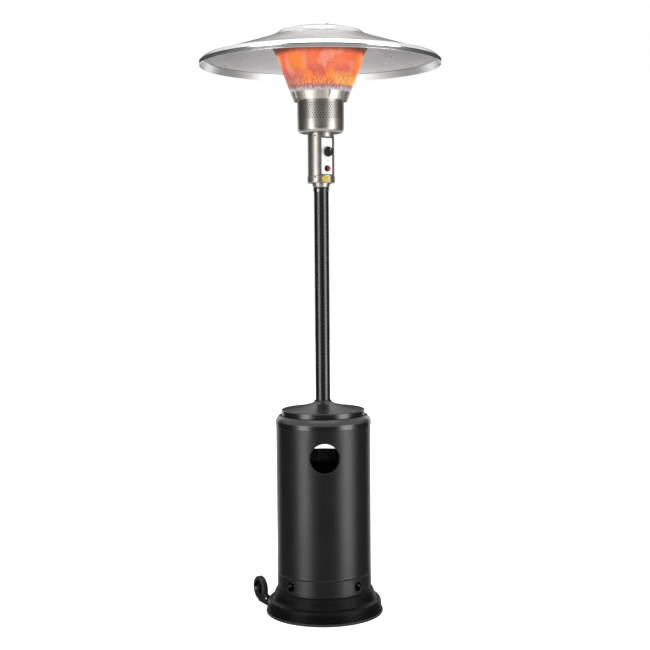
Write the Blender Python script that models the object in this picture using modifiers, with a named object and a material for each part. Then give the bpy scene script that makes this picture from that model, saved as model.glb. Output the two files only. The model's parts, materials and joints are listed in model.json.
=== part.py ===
"""Outdoor gas heater: ballasted base, lift-up cylinder housing, post, burner head and reflector.

Metres, +Z up.  The origin is the centre of the base's underside and the front is -Y.
Places round the axis are given as an azimuth from the front, positive towards +X.
"""
import math

import bmesh
import bpy
from mathutils import Matrix, Vector

# ---------------------------------------------------------------- driving dimensions
GAP = 0.0003                 # clearance between faces that rest on each other
SHEET = 0.0012               # pressed steel of the housing, the base and the lid
FINE_SHEET = 0.0010          # stainless and aluminium sheet of the head

WIDE, MIDDLE, NARROW, TINY = 34, 24, 16, 10   # steps round a turned piece, by its size

HOUSING_RADIUS = 0.1833      # outside of the cylinder housing
SKIRT_HEIGHT = 0.0660        # vented lower ring of the housing
SKIRT_LAP = 0.0150           # length of the skirt's joggled lap inside the tube
TUBE_HEIGHT = 0.5850
VENT_RADIUS = 0.0175
VENT_AZIMUTHS = (45.0, 135.0, 225.0, 315.0)
HAND_HOLE_RADIUS = 0.0565
HAND_HOLE_DROP = 0.1165      # centre of the hand hole below the tube's top edge
HAND_HOLE_AZIMUTH = 1.5
LID_INSET = 0.0218           # the lid's wall inside the housing's outer face
LID_HEIGHT = 0.0210
LID_CONE_RISE = 0.0230

BASE_LEDGE = 0.0392          # how far the base's wall stands outside the housing
BASE_SHOULDER_Z = 0.0520     # height of the base's lower step
BASE_SHOULDER_ROUND = 0.0120
PLATFORM_Z = 0.0830          # floor that the gas cylinder stands on
CROWN_Z = 0.0937             # raised ring that carries the housing
FOOT_HEIGHT = 0.0090
FOOT_PROUD = 0.0060          # the rubber edging outside the base's wall
FOOT_GRIP = 0.0050           # the rubber edging inside the base's wall
BALLAST_HEIGHT = 0.0320

LEG_AZIMUTHS = (102.0, 150.0, 210.0, 258.0)
LEG_WIDTH = 0.0300
LEG_THICKNESS = 0.0040
LEG_TAB = 0.0280
LEG_CLEARANCE = 0.0151       # between a leg's outer face and the housing's inner face
BRACE_HEIGHT = 0.0500
BRACE_SPAN = 172.0           # degrees of the arc behind the cylinder
PLATE_DROP = 0.0553          # top of the mounting plate below the tube's top edge
PLATE_THICKNESS = 0.0040

POST_RADIUS = 0.0285
POST_WALL = 0.0015
POST_LENGTH = 0.9554
POST_BELL = 0.0020           # how far the post's swaged top stands out
POST_BELL_HEIGHT = 0.0120
FLANGE_RADIUS = 0.0600
FLANGE_THICKNESS = 0.0060
SLEEVE_HEIGHT = 0.0260
SLEEVE_WALL = 0.0050
HEAD_BOLT_DROP = 0.0110      # head bolts below the post's top
HEAD_BOLT_AZIMUTHS = (-25.0, 65.0, 155.0, 245.0)
HEAD_BOLT_RADIUS = 0.0028

NECK_TOP_RADIUS = 0.0360
NECK_HEIGHT = 0.0157
NECK_SPIGOT = 0.0520
NECK_BORE = 0.0235
COLLAR_PROUD = 0.0020        # the collar outside the control housing
COLLAR_HEIGHT = 0.0270
CONTROL_RADIUS = 0.0510
CONTROL_HEIGHT = 0.1620
CONTROL_AZIMUTH = 38.0       # the way the control face looks
FLAT_DEPTH = 0.0156          # how deep the flat face is cut into the round housing
FLAT_MARGIN_BOTTOM = 0.0020
FLAT_MARGIN_TOP = 0.0150
PANEL_SIDE_MARGIN = 0.0117
PANEL_THICKNESS = 0.0008
KNOB_DROP = 0.0710           # knob axis below the control housing's top
KNOB_RADIUS = 0.0195
KNOB_DEPTH = 0.0160
KNOB_STAND_OFF = 0.0060
STEM_RADIUS = 0.0030
STEM_REACH = 0.0110          # how far the stem goes into the knob
IGNITER_DROP = 0.1345
BUTTON_RADIUS = 0.0085
BUTTON_PROUD = 0.0150        # button's tip in front of the panel
BUTTON_TAIL = 0.0160
BEZEL_RADIUS = 0.0123
BEZEL_DEPTH = 0.0040
IGNITER_RADIUS = 0.0110
IGNITER_LENGTH = 0.0280
VALVE_SIZE = (0.0280, 0.0420)  # width and height of the valve's block
VALVE_BACK = 0.0270
HOSE_RADIUS = 0.0050
HOSE_OFFSET = 0.0120         # hose behind the axis where it meets the valve

CUP_RADIUS = 0.0890
CUP_HEIGHT = 0.1246
CUP_ROUND = 0.0180
CUP_RIM = 0.0080
MIXER_RADIUS = 0.0125
MIXER_LENGTH = 0.0950
BURNER_RADIUS = 0.0620
BURNER_HEIGHT = 0.0250
PILOT_CIRCLE = 0.0740
PILOT_SPREAD = 0.0125
TUBE_RADIUS = 0.0020
TUBE_SPREAD = 0.0060
TUBE_START = 0.0215
TUBE_FLOOR = 0.0330          # where the small tubes pass the cup's floor

EMITTER_HEIGHT = 0.2010
EMITTER_DROP = 0.0027        # emitter's lower edge below the cup's rim
EMITTER_OVERHANG = 0.0130    # emitter's lower edge outside the cup's wall
EMITTER_TOP_RADIUS = 0.1794
EMITTER_LID_LIP = 0.0060

STAND_OFF = 0.0660           # between the emitter's top plate and the reflector's cap
STUD_RADIUS = 0.0060
STUD_THREAD = 0.0030
STUD_AZIMUTH = 13.0
STUD_EDGE = 0.0060           # stud axis inside the edge of the cap's flat
CAP_RADIUS = 0.2030
CAP_SHOULDER = 0.0800        # width of the cap's sloping shoulder
CAP_RISE = 0.0320
NUT_RADIUS = 0.0055
NUT_HEIGHT = 0.0048
REFLECTOR_RADIUS = 0.4620
REFLECTOR_FALL = 0.0670      # fall of the cone from the cap to the knee
REFLECTOR_KNEE = 0.0530      # width of the outer zone
REFLECTOR_LIP = 0.0110
PANEL_LAP = 0.0530           # how far the panels run in under the cap
SEAM_AZIMUTH = 2.0
SEAM_GAP = 0.0006            # between neighbouring panels

WHEEL_AZIMUTH = 208.0        # the way the wheel kit points, seen from the axis
WHEEL_RADIUS = 0.0485
WHEEL_WIDTH = 0.0240
WHEEL_TRACK = 0.1580         # middle of each wheel from the kit's centre line
AXLE_RADIUS = 0.0040
AXLE_Z = 0.0495
AXLE_REACH = 0.0245          # axle outside the rubber edging
ARM_SPREAD = 0.0180          # middle of each bracket arm from the middle of its wheel
ARM_THICKNESS = 0.0030
ARM_BOTTOM = 0.0040
ARM_TOP = 0.0260
STRAP_BOTTOM = 0.0115
STRAP_TOP = 0.0345
EAR_RADIUS = 0.0110
AXLE_CAP = 0.0035            # how far the axle's head stands out round the axle
AXLE_HEAD = 0.0060           # length of the axle's head

# ---------------------------------------------------------------- derived places
HOUSING_BORE = HOUSING_RADIUS - SHEET
BASE_RADIUS = HOUSING_RADIUS + BASE_LEDGE
BASE_BORE = BASE_RADIUS - SHEET
FOOT_RADIUS = BASE_RADIUS + FOOT_PROUD
SHELL_FOOT_Z = 0.0030
RISER_RADIUS = HOUSING_RADIUS + 0.0157

SKIRT_Z = CROWN_Z + GAP
TUBE_Z = SKIRT_Z + SKIRT_HEIGHT + GAP
TUBE_TOP = TUBE_Z + TUBE_HEIGHT
HAND_HOLE_Z = TUBE_TOP - HAND_HOLE_DROP
VENT_Z = SKIRT_Z + SKIRT_HEIGHT * 0.5
LID_RADIUS = HOUSING_RADIUS - LID_INSET
LID_SEAT_Z = TUBE_TOP + 0.0297
LID_TOP = LID_SEAT_Z + LID_HEIGHT
BUSH_BORE = POST_RADIUS + 0.0007
BUSH_RADIUS = BUSH_BORE + 0.0030

PLATE_TOP = TUBE_TOP - PLATE_DROP
PLATE_Z = PLATE_TOP - PLATE_THICKNESS
PLATE_BORE = 0.0200
LEG_RADIUS = HOUSING_BORE - LEG_CLEARANCE
LEG_FOOT_Z = PLATFORM_Z + GAP
LEG_TOP_Z = PLATE_Z - GAP
BRACE_RADIUS = LEG_RADIUS - LEG_THICKNESS - GAP
BRACE_TOP = HAND_HOLE_Z - 0.0145

FLANGE_Z = PLATE_TOP + GAP
POST_Z = FLANGE_Z + FLANGE_THICKNESS + GAP
POST_TOP = POST_Z + POST_LENGTH
HEAD_BOLT_Z = POST_TOP - HEAD_BOLT_DROP
BELL_RADIUS = POST_RADIUS + POST_BELL

NECK_Z = POST_TOP + GAP
COLLAR_Z = NECK_Z + NECK_HEIGHT + GAP
CONTROL_Z = COLLAR_Z + COLLAR_HEIGHT + GAP
CONTROL_TOP = CONTROL_Z + CONTROL_HEIGHT
FLAT_Z = CONTROL_Z + FLAT_MARGIN_BOTTOM
FLAT_TOP = CONTROL_TOP - FLAT_MARGIN_TOP
FLAT = CONTROL_RADIUS - FLAT_DEPTH           # control face's distance from the axis
FLAT_HALF = math.sqrt(CONTROL_RADIUS ** 2 - FLAT ** 2)
PANEL_BACK = FLAT + GAP
PANEL_FRONT = PANEL_BACK + PANEL_THICKNESS
KNOB_Z = CONTROL_TOP - KNOB_DROP
KNOB_BACK = PANEL_FRONT + KNOB_STAND_OFF
IGNITER_Z = CONTROL_TOP - IGNITER_DROP
VALVE_FRONT = FLAT - FINE_SHEET - 0.0085
VALVE_BOSS = FLAT - FINE_SHEET - 2 * GAP
VALVE_BASE_Z = KNOB_Z - VALVE_SIZE[1] / 2
VALVE_TOP_Z = KNOB_Z + VALVE_SIZE[1] / 2
NIPPLE = 0.0130
NIPPLE_RADIUS = 0.0060

CUP_Z = CONTROL_TOP + GAP
CUP_TOP = CUP_Z + CUP_HEIGHT
JET_Z = VALVE_TOP_Z + NIPPLE + GAP
MIXER_Z = JET_Z + 0.0175
MIXER_TOP = MIXER_Z + MIXER_LENGTH
BURNER_TOP = CUP_TOP + 0.0060
BURNER_Z = BURNER_TOP - BURNER_HEIGHT

EMITTER_Z = CUP_TOP - EMITTER_DROP
EMITTER_TOP = EMITTER_Z + EMITTER_HEIGHT
EMITTER_RADIUS = CUP_RADIUS + EMITTER_OVERHANG
EMITTER_SLOPE = (EMITTER_TOP_RADIUS - EMITTER_RADIUS) / EMITTER_HEIGHT
EMITTER_RING_Z = CUP_TOP + GAP
EMITTER_RING_THICKNESS = 0.0018
EMITTER_LID_Z = EMITTER_TOP + FINE_SHEET
EMITTER_LID_THICKNESS = 0.0020

STUD_Z = EMITTER_LID_Z + EMITTER_LID_THICKNESS + GAP
CAP_TOP = STUD_Z + STAND_OFF + FINE_SHEET + GAP
CAP_FLAT_RADIUS = CAP_RADIUS - CAP_SHOULDER
STUD_CIRCLE = CAP_FLAT_RADIUS - STUD_EDGE
CAP_RIM_Z = CAP_TOP - CAP_RISE
CONE_START_RADIUS = CAP_RADIUS - 0.0090
CONE_START_Z = CAP_RIM_Z + 0.0008
KNEE_RADIUS = REFLECTOR_RADIUS - REFLECTOR_KNEE
KNEE_Z = CONE_START_Z - REFLECTOR_FALL
CONE_SLOPE = -REFLECTOR_FALL / (KNEE_RADIUS - CONE_START_RADIUS)

AXLE_RADIAL = FOOT_RADIUS + AXLE_REACH
AXLE_HALF = ARM_SPREAD + ARM_THICKNESS / 2 + GAP + AXLE_HEAD
ARM_OFFSETS = (WHEEL_TRACK - ARM_SPREAD, WHEEL_TRACK + ARM_SPREAD)

# ---------------------------------------------------------------- scene helpers
PARTS = "outdoor_heater"
CUTTERS = "cutters"


def clear_scene():
    """Start from an empty scene with one collection for the parts and one for the cutters."""
    for thing in list(bpy.data.objects):
        bpy.data.objects.remove(thing, do_unlink=True)
    for name in (PARTS, CUTTERS):
        bpy.context.scene.collection.children.link(bpy.data.collections.new(name))


def finish(name, colour, roughness, metallic):
    """A Principled material, made once for each name."""
    material = bpy.data.materials.get(name)
    if material is None:
        material = bpy.data.materials.new(name)
        material.use_nodes = True
        shader = material.node_tree.nodes["Principled BSDF"]
        shader.inputs["Base Color"].default_value = (*colour, 1.0)
        shader.inputs["Roughness"].default_value = roughness
        shader.inputs["Metallic"].default_value = metallic
    return material


def black_paint():
    return finish("black_paint", (0.018, 0.018, 0.019), 0.38, 0.0)


def stainless():
    return finish("stainless", (0.62, 0.62, 0.60), 0.25, 1.0)


def aluminium():
    return finish("aluminium", (0.70, 0.70, 0.71), 0.30, 1.0)


def zinc():
    return finish("zinc", (0.45, 0.45, 0.46), 0.40, 1.0)


def brass():
    return finish("brass", (0.60, 0.44, 0.18), 0.30, 1.0)


def black_plastic():
    return finish("black_plastic", (0.02, 0.02, 0.02), 0.45, 0.0)


def red_plastic():
    return finish("red_plastic", (0.55, 0.02, 0.02), 0.30, 0.0)


def white_panel():
    return finish("white_panel", (0.80, 0.80, 0.78), 0.45, 0.0)


def rubber():
    return finish("rubber", (0.015, 0.015, 0.015), 0.80, 0.0)


def concrete():
    return finish("concrete", (0.35, 0.34, 0.32), 0.90, 0.0)


def ceramic():
    return finish("ceramic", (0.75, 0.73, 0.68), 0.50, 0.0)


def hot_screen():
    return finish("hot_screen", (0.55, 0.16, 0.08), 0.45, 0.6)


def place(name, mesh, material=None, matrix=None):
    """Put a mesh in the scene: a part when it has a material, a cutter when it has none."""
    part = bpy.data.objects.new(name, mesh)
    bpy.data.collections[PARTS if material else CUTTERS].objects.link(part)
    part.matrix_world = matrix or Matrix.Identity(4)
    if material:
        mesh.materials.clear()
        mesh.materials.append(material)
        mesh.shade_smooth()
        mesh.set_sharp_from_angle(angle=math.radians(35))
    else:
        part.hide_render = True
        part.display_type = "WIRE"
    return part


def about(azimuth, radius=0.0, z=0.0):
    """Frame at an azimuth: its -Y looks outwards, and its origin is on the given circle."""
    turn = Matrix.Rotation(math.radians(azimuth), 4, "Z")
    return turn @ Matrix.Translation((0.0, -radius, z))


def along(azimuth, radius, z):
    """Frame at an azimuth whose own Z axis points outwards from the axis."""
    return about(azimuth, radius, z) @ Matrix.Rotation(math.radians(90), 4, "X")


def clockwise(points):
    """Order of a closed outline that a Screw turns into faces pointing outwards."""
    area = sum(a[0] * b[1] - b[0] * a[1] for a, b in zip(points, points[1:] + points[:1]))
    return points if area < 0 else points[::-1]


def arc(centre_r, centre_z, radius, start, end, count):
    """Points of a round stretch; angles in degrees, 0 along +r and 90 along +z."""
    angles = [math.radians(start + (end - start) * i / (count - 1)) for i in range(count)]
    return [(centre_r + radius * math.cos(a), centre_z + radius * math.sin(a)) for a in angles]


def profile_mesh(name, points, closed):
    mesh = bpy.data.meshes.new(name)
    edges = [(i, i + 1) for i in range(len(points) - 1)]
    if closed:
        edges.append((len(points) - 1, 0))
    mesh.from_pydata([(r, 0.0, z) for r, z in points], edges, [])
    return mesh


def add_screw(part, steps, degrees=360.0):
    screw = part.modifiers.new("turn", "SCREW")
    screw.axis = "Z"
    screw.angle = math.radians(degrees)
    screw.steps = screw.render_steps = steps
    screw.use_merge_vertices = degrees == 360.0
    screw.merge_threshold = 0.00001
    screw.use_smooth_shade = True


def turned(name, points, material=None, matrix=None, steps=MIDDLE):
    """Solid of revolution: a closed outline, or one that starts and ends on the axis."""
    on_axis = points[0][0] == 0.0 and points[-1][0] == 0.0
    outline = points if on_axis else clockwise(points)
    part = place(name, profile_mesh(name, outline, not on_axis), material, matrix)
    add_screw(part, steps)
    return part


def turned_sheet(name, points, thickness, material, steps=MIDDLE, degrees=360.0, matrix=None):
    """Sheet of revolution: its outer face's profile, top to bottom, thickened inwards."""
    part = place(name, profile_mesh(name, points, False), material, matrix)
    add_screw(part, steps, degrees)
    shell = part.modifiers.new("sheet", "SOLIDIFY")
    shell.thickness = thickness
    shell.offset = -1.0
    shell.use_even_offset = True
    return part


def cylinder(name, radius, low, high, material=None, matrix=None, steps=NARROW):
    """Cylinder about the frame's Z axis, from low to high along it."""
    shape = bmesh.new()
    bmesh.ops.create_cone(shape, cap_ends=True, segments=steps, radius1=radius, radius2=radius,
                          depth=high - low, matrix=Matrix.Translation((0, 0, (low + high) / 2)))
    mesh = bpy.data.meshes.new(name)
    shape.to_mesh(mesh)
    shape.free()
    return place(name, mesh, material, matrix)


def block(name, low, high, material=None, matrix=None):
    """Box between two corners of the frame."""
    size = Vector(high) - Vector(low)
    middle = (Vector(high) + Vector(low)) / 2
    shape = bmesh.new()
    bmesh.ops.create_cube(shape, size=1.0)
    bmesh.ops.scale(shape, vec=size, verts=shape.verts)
    bmesh.ops.translate(shape, vec=middle, verts=shape.verts)
    mesh = bpy.data.meshes.new(name)
    shape.to_mesh(mesh)
    shape.free()
    return place(name, mesh, material, matrix)


def baked(curve_object, material=None):
    """The curve object's evaluated mesh, welded, in place of the curve."""
    name, matrix = curve_object.name, curve_object.matrix_world.copy()
    bpy.context.view_layer.update()
    seen = curve_object.evaluated_get(bpy.context.evaluated_depsgraph_get())
    mesh = bpy.data.meshes.new_from_object(seen)
    bpy.data.objects.remove(curve_object, do_unlink=True)
    shape = bmesh.new()
    shape.from_mesh(mesh)
    bmesh.ops.remove_doubles(shape, verts=shape.verts, dist=0.000001)
    bmesh.ops.recalc_face_normals(shape, faces=shape.faces)
    shape.to_mesh(mesh)
    shape.free()
    mesh.name = name
    return place(name, mesh, material, matrix)


def plate(name, outlines, thickness, material=None, matrix=None):
    """Flat plate in the frame's XY plane, centred on it; inner outlines are holes."""
    curve = bpy.data.curves.new(name, "CURVE")
    curve.dimensions = "2D"
    curve.fill_mode = "BOTH"
    curve.extrude = thickness / 2
    for outline in outlines:
        spline = curve.splines.new("POLY")
        spline.points.add(len(outline) - 1)
        for point, (x, y) in zip(spline.points, outline):
            point.co = (x, y, 0.0, 1.0)
        spline.use_cyclic_u = True
    holder = bpy.data.objects.new(name, curve)
    bpy.data.collections[CUTTERS].objects.link(holder)
    holder.matrix_world = matrix or Matrix.Identity(4)
    return baked(holder, material)


def tube(name, points, radius, material):
    """Round tube or wire along points."""
    curve = bpy.data.curves.new(name, "CURVE")
    curve.dimensions = "3D"
    curve.bevel_depth = radius
    curve.bevel_resolution = 2
    curve.use_fill_caps = True
    spline = curve.splines.new("POLY")
    spline.points.add(len(points) - 1)
    for point, place_xyz in zip(spline.points, points):
        point.co = (*place_xyz, 1.0)
    holder = bpy.data.objects.new(name, curve)
    bpy.data.collections[PARTS].objects.link(holder)
    curve.materials.append(material)
    return holder


def boolean(part, operation, *cutters):
    for cutter in cutters:
        step = part.modifiers.new(cutter.name, "BOOLEAN")
        step.operation = operation
        step.solver = "EXACT"
        step.object = cutter


def cut(part, *cutters):
    boolean(part, "DIFFERENCE", *cutters)


def join(part, *pieces):
    boolean(part, "UNION", *pieces)


def circle(radius, count, x=0.0, y=0.0):
    turns = [2 * math.pi * i / count for i in range(count)]
    return [(x + radius * math.cos(a), y + radius * math.sin(a)) for a in turns]


def ring_section(inner, outer, low, high):
    return [(inner, low), (inner, high), (outer, high), (outer, low)]


def smooth(low, high, share):
    """Eased value between two ends."""
    share = min(max(share, 0.0), 1.0)
    return low + (high - low) * share * share * (3 - 2 * share)


# ---------------------------------------------------------------- base
def base_profile():
    """Outer face of the pressed base, from the platform's centre to its lower edge."""
    crown = [(HOUSING_RADIUS - 0.0113, PLATFORM_Z), (HOUSING_RADIUS - 0.0043, CROWN_Z - 0.0025),
             (HOUSING_RADIUS - 0.0018, CROWN_Z), (HOUSING_RADIUS + 0.0022, CROWN_Z),
             (HOUSING_RADIUS + 0.0052, CROWN_Z - 0.0032), (HOUSING_RADIUS + 0.0117, CROWN_Z - 0.0150)]
    ledge = [(RISER_RADIUS, BASE_SHOULDER_Z + 0.0140), (RISER_RADIUS + 0.0050, BASE_SHOULDER_Z + 0.0045)]
    shoulder = arc(BASE_RADIUS - BASE_SHOULDER_ROUND, BASE_SHOULDER_Z - BASE_SHOULDER_ROUND,
                   BASE_SHOULDER_ROUND, 90, 0, 4)
    return [(0.0, PLATFORM_Z)] + crown + ledge + shoulder + [(BASE_RADIUS, SHELL_FOOT_Z)]


def make_base():
    turned_sheet("base_shell", base_profile(), SHEET, black_paint(), steps=WIDE)
    inner = BASE_RADIUS - FOOT_GRIP
    groove_in, groove_out = BASE_BORE - GAP, BASE_RADIUS + GAP
    groove_z = SHELL_FOOT_Z - GAP
    turned("base_foot_ring", [(inner, 0.0), (inner, FOOT_HEIGHT), (groove_in, FOOT_HEIGHT),
                              (groove_in, groove_z), (groove_out, groove_z),
                              (groove_out, FOOT_HEIGHT), (FOOT_RADIUS - 0.002, FOOT_HEIGHT),
                              (FOOT_RADIUS, FOOT_HEIGHT - 0.002), (FOOT_RADIUS, 0.0)],
           rubber(), steps=WIDE)
    floor_z = 0.0050
    floor_radius = inner - GAP
    turned("base_floor", [(0.0, floor_z + 2 * SHEET), (floor_radius, floor_z + 2 * SHEET),
                          (floor_radius, floor_z), (0.0, floor_z)], zinc(), steps=WIDE)
    ballast_z = floor_z + 2 * SHEET + GAP
    ballast_radius = BASE_BORE - 0.0130
    ballast_top = ballast_z + BALLAST_HEIGHT
    turned("base_ballast", [(0.0, ballast_top), (ballast_radius - 0.006, ballast_top),
                            (ballast_radius, ballast_top - 0.006), (ballast_radius, ballast_z),
                            (0.0, ballast_z)], concrete(), steps=MIDDLE)


# ---------------------------------------------------------------- support frame
def make_frame():
    inner = LEG_RADIUS - LEG_THICKNESS
    tab = inner - LEG_TAB
    outline = [(tab, LEG_FOOT_Z), (LEG_RADIUS, LEG_FOOT_Z), (LEG_RADIUS, LEG_TOP_Z), (tab, LEG_TOP_Z),
               (tab, LEG_TOP_Z - LEG_THICKNESS), (inner, LEG_TOP_Z - LEG_THICKNESS),
               (inner, LEG_FOOT_Z + LEG_THICKNESS), (tab, LEG_FOOT_Z + LEG_THICKNESS)]
    for number, azimuth in enumerate(LEG_AZIMUTHS, 1):
        matrix = Matrix.Rotation(math.radians(azimuth - 90), 4, "Z") @ Matrix.Rotation(
            math.radians(90), 4, "X")
        plate(f"support_leg_{number}", [outline], LEG_WIDTH, zinc(), matrix)
    half = BRACE_SPAN / 2
    band = arc(0, 0, BRACE_RADIUS, 90 - half, 90 + half, 21)
    band += arc(0, 0, BRACE_RADIUS - LEG_THICKNESS + 0.001, 90 + half, 90 - half, 21)
    plate("leg_brace", [band], BRACE_HEIGHT, zinc(),
          Matrix.Translation((0, 0, BRACE_TOP - BRACE_HEIGHT / 2)))
    turned("mounting_plate", ring_section(PLATE_BORE, LEG_RADIUS, PLATE_Z, PLATE_TOP), zinc(),
           steps=WIDE)
    sleeve_bore = POST_RADIUS + GAP
    sleeve = sleeve_bore + SLEEVE_WALL
    plate_top = FLANGE_Z + FLANGE_THICKNESS
    turned("post_flange", [(sleeve_bore, plate_top), (sleeve_bore, plate_top + SLEEVE_HEIGHT),
                           (sleeve, plate_top + SLEEVE_HEIGHT), (sleeve, plate_top + 0.002),
                           (sleeve + 0.002, plate_top), (FLANGE_RADIUS, plate_top),
                           (FLANGE_RADIUS, FLANGE_Z), (PLATE_BORE, FLANGE_Z), (PLATE_BORE, plate_top)],
           black_paint())


def bolt_cutter(number, azimuth):
    """Clearance hole of one head bolt, through the post and the neck."""
    return cylinder(f"bolt_hole_{number}", HEAD_BOLT_RADIUS + 0.0004, NECK_BORE - 0.004,
                    BELL_RADIUS + 0.004, matrix=along(azimuth, 0.0, HEAD_BOLT_Z), steps=TINY)


def make_post():
    bell_z = POST_TOP - POST_BELL_HEIGHT
    profile = [(BELL_RADIUS, POST_TOP), (BELL_RADIUS, bell_z), (BELL_RADIUS - 0.0006, bell_z - 0.010),
               (POST_RADIUS, bell_z - 0.030), (POST_RADIUS, POST_Z)]
    post = turned_sheet("post", profile, POST_WALL, black_paint(), steps=MIDDLE)
    spigot = POST_RADIUS - POST_WALL - 0.0005
    neck = turned("head_neck", [
        (NECK_BORE, NECK_Z + NECK_HEIGHT), (NECK_TOP_RADIUS, NECK_Z + NECK_HEIGHT),
        (NECK_TOP_RADIUS, NECK_Z + NECK_HEIGHT - 0.003), (BELL_RADIUS + 0.0005, NECK_Z + 0.003),
        (BELL_RADIUS + 0.0005, NECK_Z), (spigot, NECK_Z), (spigot, NECK_Z - NECK_SPIGOT),
        (NECK_BORE, NECK_Z - NECK_SPIGOT)], stainless(), steps=MIDDLE)
    for number, azimuth in enumerate(HEAD_BOLT_AZIMUTHS, 1):
        hole = bolt_cutter(number, azimuth)
        cut(post, hole)
        cut(neck, hole)
        seat = BELL_RADIUS + GAP
        head = 0.0060
        turned(f"head_bolt_{number}", [
            (0.0, seat + 0.0042), (head * 0.75, seat + 0.0042), (head, seat + 0.003), (head, seat),
            (HEAD_BOLT_RADIUS, seat), (HEAD_BOLT_RADIUS, NECK_BORE - 0.001), (0.0, NECK_BORE - 0.001)],
            zinc(), along(azimuth, 0.0, HEAD_BOLT_Z), steps=TINY)


# ---------------------------------------------------------------- cylinder housing
def make_housing():
    lap = HOUSING_BORE - GAP
    seam_z = SKIRT_Z + SKIRT_HEIGHT
    skirt = turned_sheet("housing_skirt", [
        (lap, seam_z + SKIRT_LAP), (lap, seam_z), (HOUSING_RADIUS, seam_z),
        (HOUSING_RADIUS, SKIRT_Z)], SHEET, black_paint(), steps=WIDE)
    for number, azimuth in enumerate(VENT_AZIMUTHS, 1):
        cut(skirt, cylinder(f"vent_{number}", VENT_RADIUS, HOUSING_RADIUS - 0.02,
                            HOUSING_RADIUS + 0.02, matrix=along(azimuth, 0.0, VENT_Z)))
    barrel = turned_sheet("housing_tube", [(HOUSING_RADIUS, TUBE_TOP), (HOUSING_RADIUS, TUBE_Z)],
                          SHEET, black_paint(), steps=WIDE)
    for number, azimuth in enumerate((HAND_HOLE_AZIMUTH, HAND_HOLE_AZIMUTH + 180), 1):
        cut(barrel, cylinder(f"hand_hole_{number}", HAND_HOLE_RADIUS, HOUSING_RADIUS - 0.03,
                             HOUSING_RADIUS + 0.03, matrix=along(azimuth, 0.0, HAND_HOLE_Z), steps=MIDDLE))
    skirt_radius = HOUSING_RADIUS + GAP + SHEET + 0.0008
    turned_sheet("housing_top_ring", [
        (LID_RADIUS - 0.0120, LID_SEAT_Z - GAP), (LID_RADIUS + 0.0040, LID_SEAT_Z - GAP),
        (LID_RADIUS + 0.0130, LID_SEAT_Z - 0.0025), (LID_RADIUS + 0.0190, LID_SEAT_Z - 0.0085),
        (skirt_radius - 0.0012, TUBE_TOP + 0.0125), (skirt_radius, TUBE_TOP + 0.0050),
        (skirt_radius, TUBE_TOP - 0.0095)], SHEET, black_paint(), steps=WIDE)
    mouth = BUSH_RADIUS + GAP
    turned_sheet("housing_lid", [
        (mouth + SHEET, LID_TOP + LID_CONE_RISE + 0.0080), (mouth + SHEET, LID_TOP + LID_CONE_RISE + 0.0010),
        (mouth + 0.0040, LID_TOP + LID_CONE_RISE - 0.0030),
        (mouth + 0.0180, LID_TOP + LID_CONE_RISE - 0.0080),
        (LID_RADIUS - 0.0060, LID_TOP + 0.0006), (LID_RADIUS - 0.0015, LID_TOP - 0.0010),
        (LID_RADIUS, LID_TOP - 0.0050), (LID_RADIUS, LID_SEAT_Z)], SHEET, black_paint(), steps=WIDE)
    bush_top = LID_TOP + LID_CONE_RISE + 0.0080
    turned("lid_bush", [(BUSH_BORE, bush_top - 0.020), (BUSH_BORE, bush_top + 0.0033),
                        (BUSH_RADIUS + 0.0016, bush_top + 0.0033), (BUSH_RADIUS + 0.0016, bush_top + GAP),
                        (BUSH_RADIUS, bush_top + GAP), (BUSH_RADIUS, bush_top - 0.020)],
           black_plastic(), steps=MIDDLE)


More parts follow.
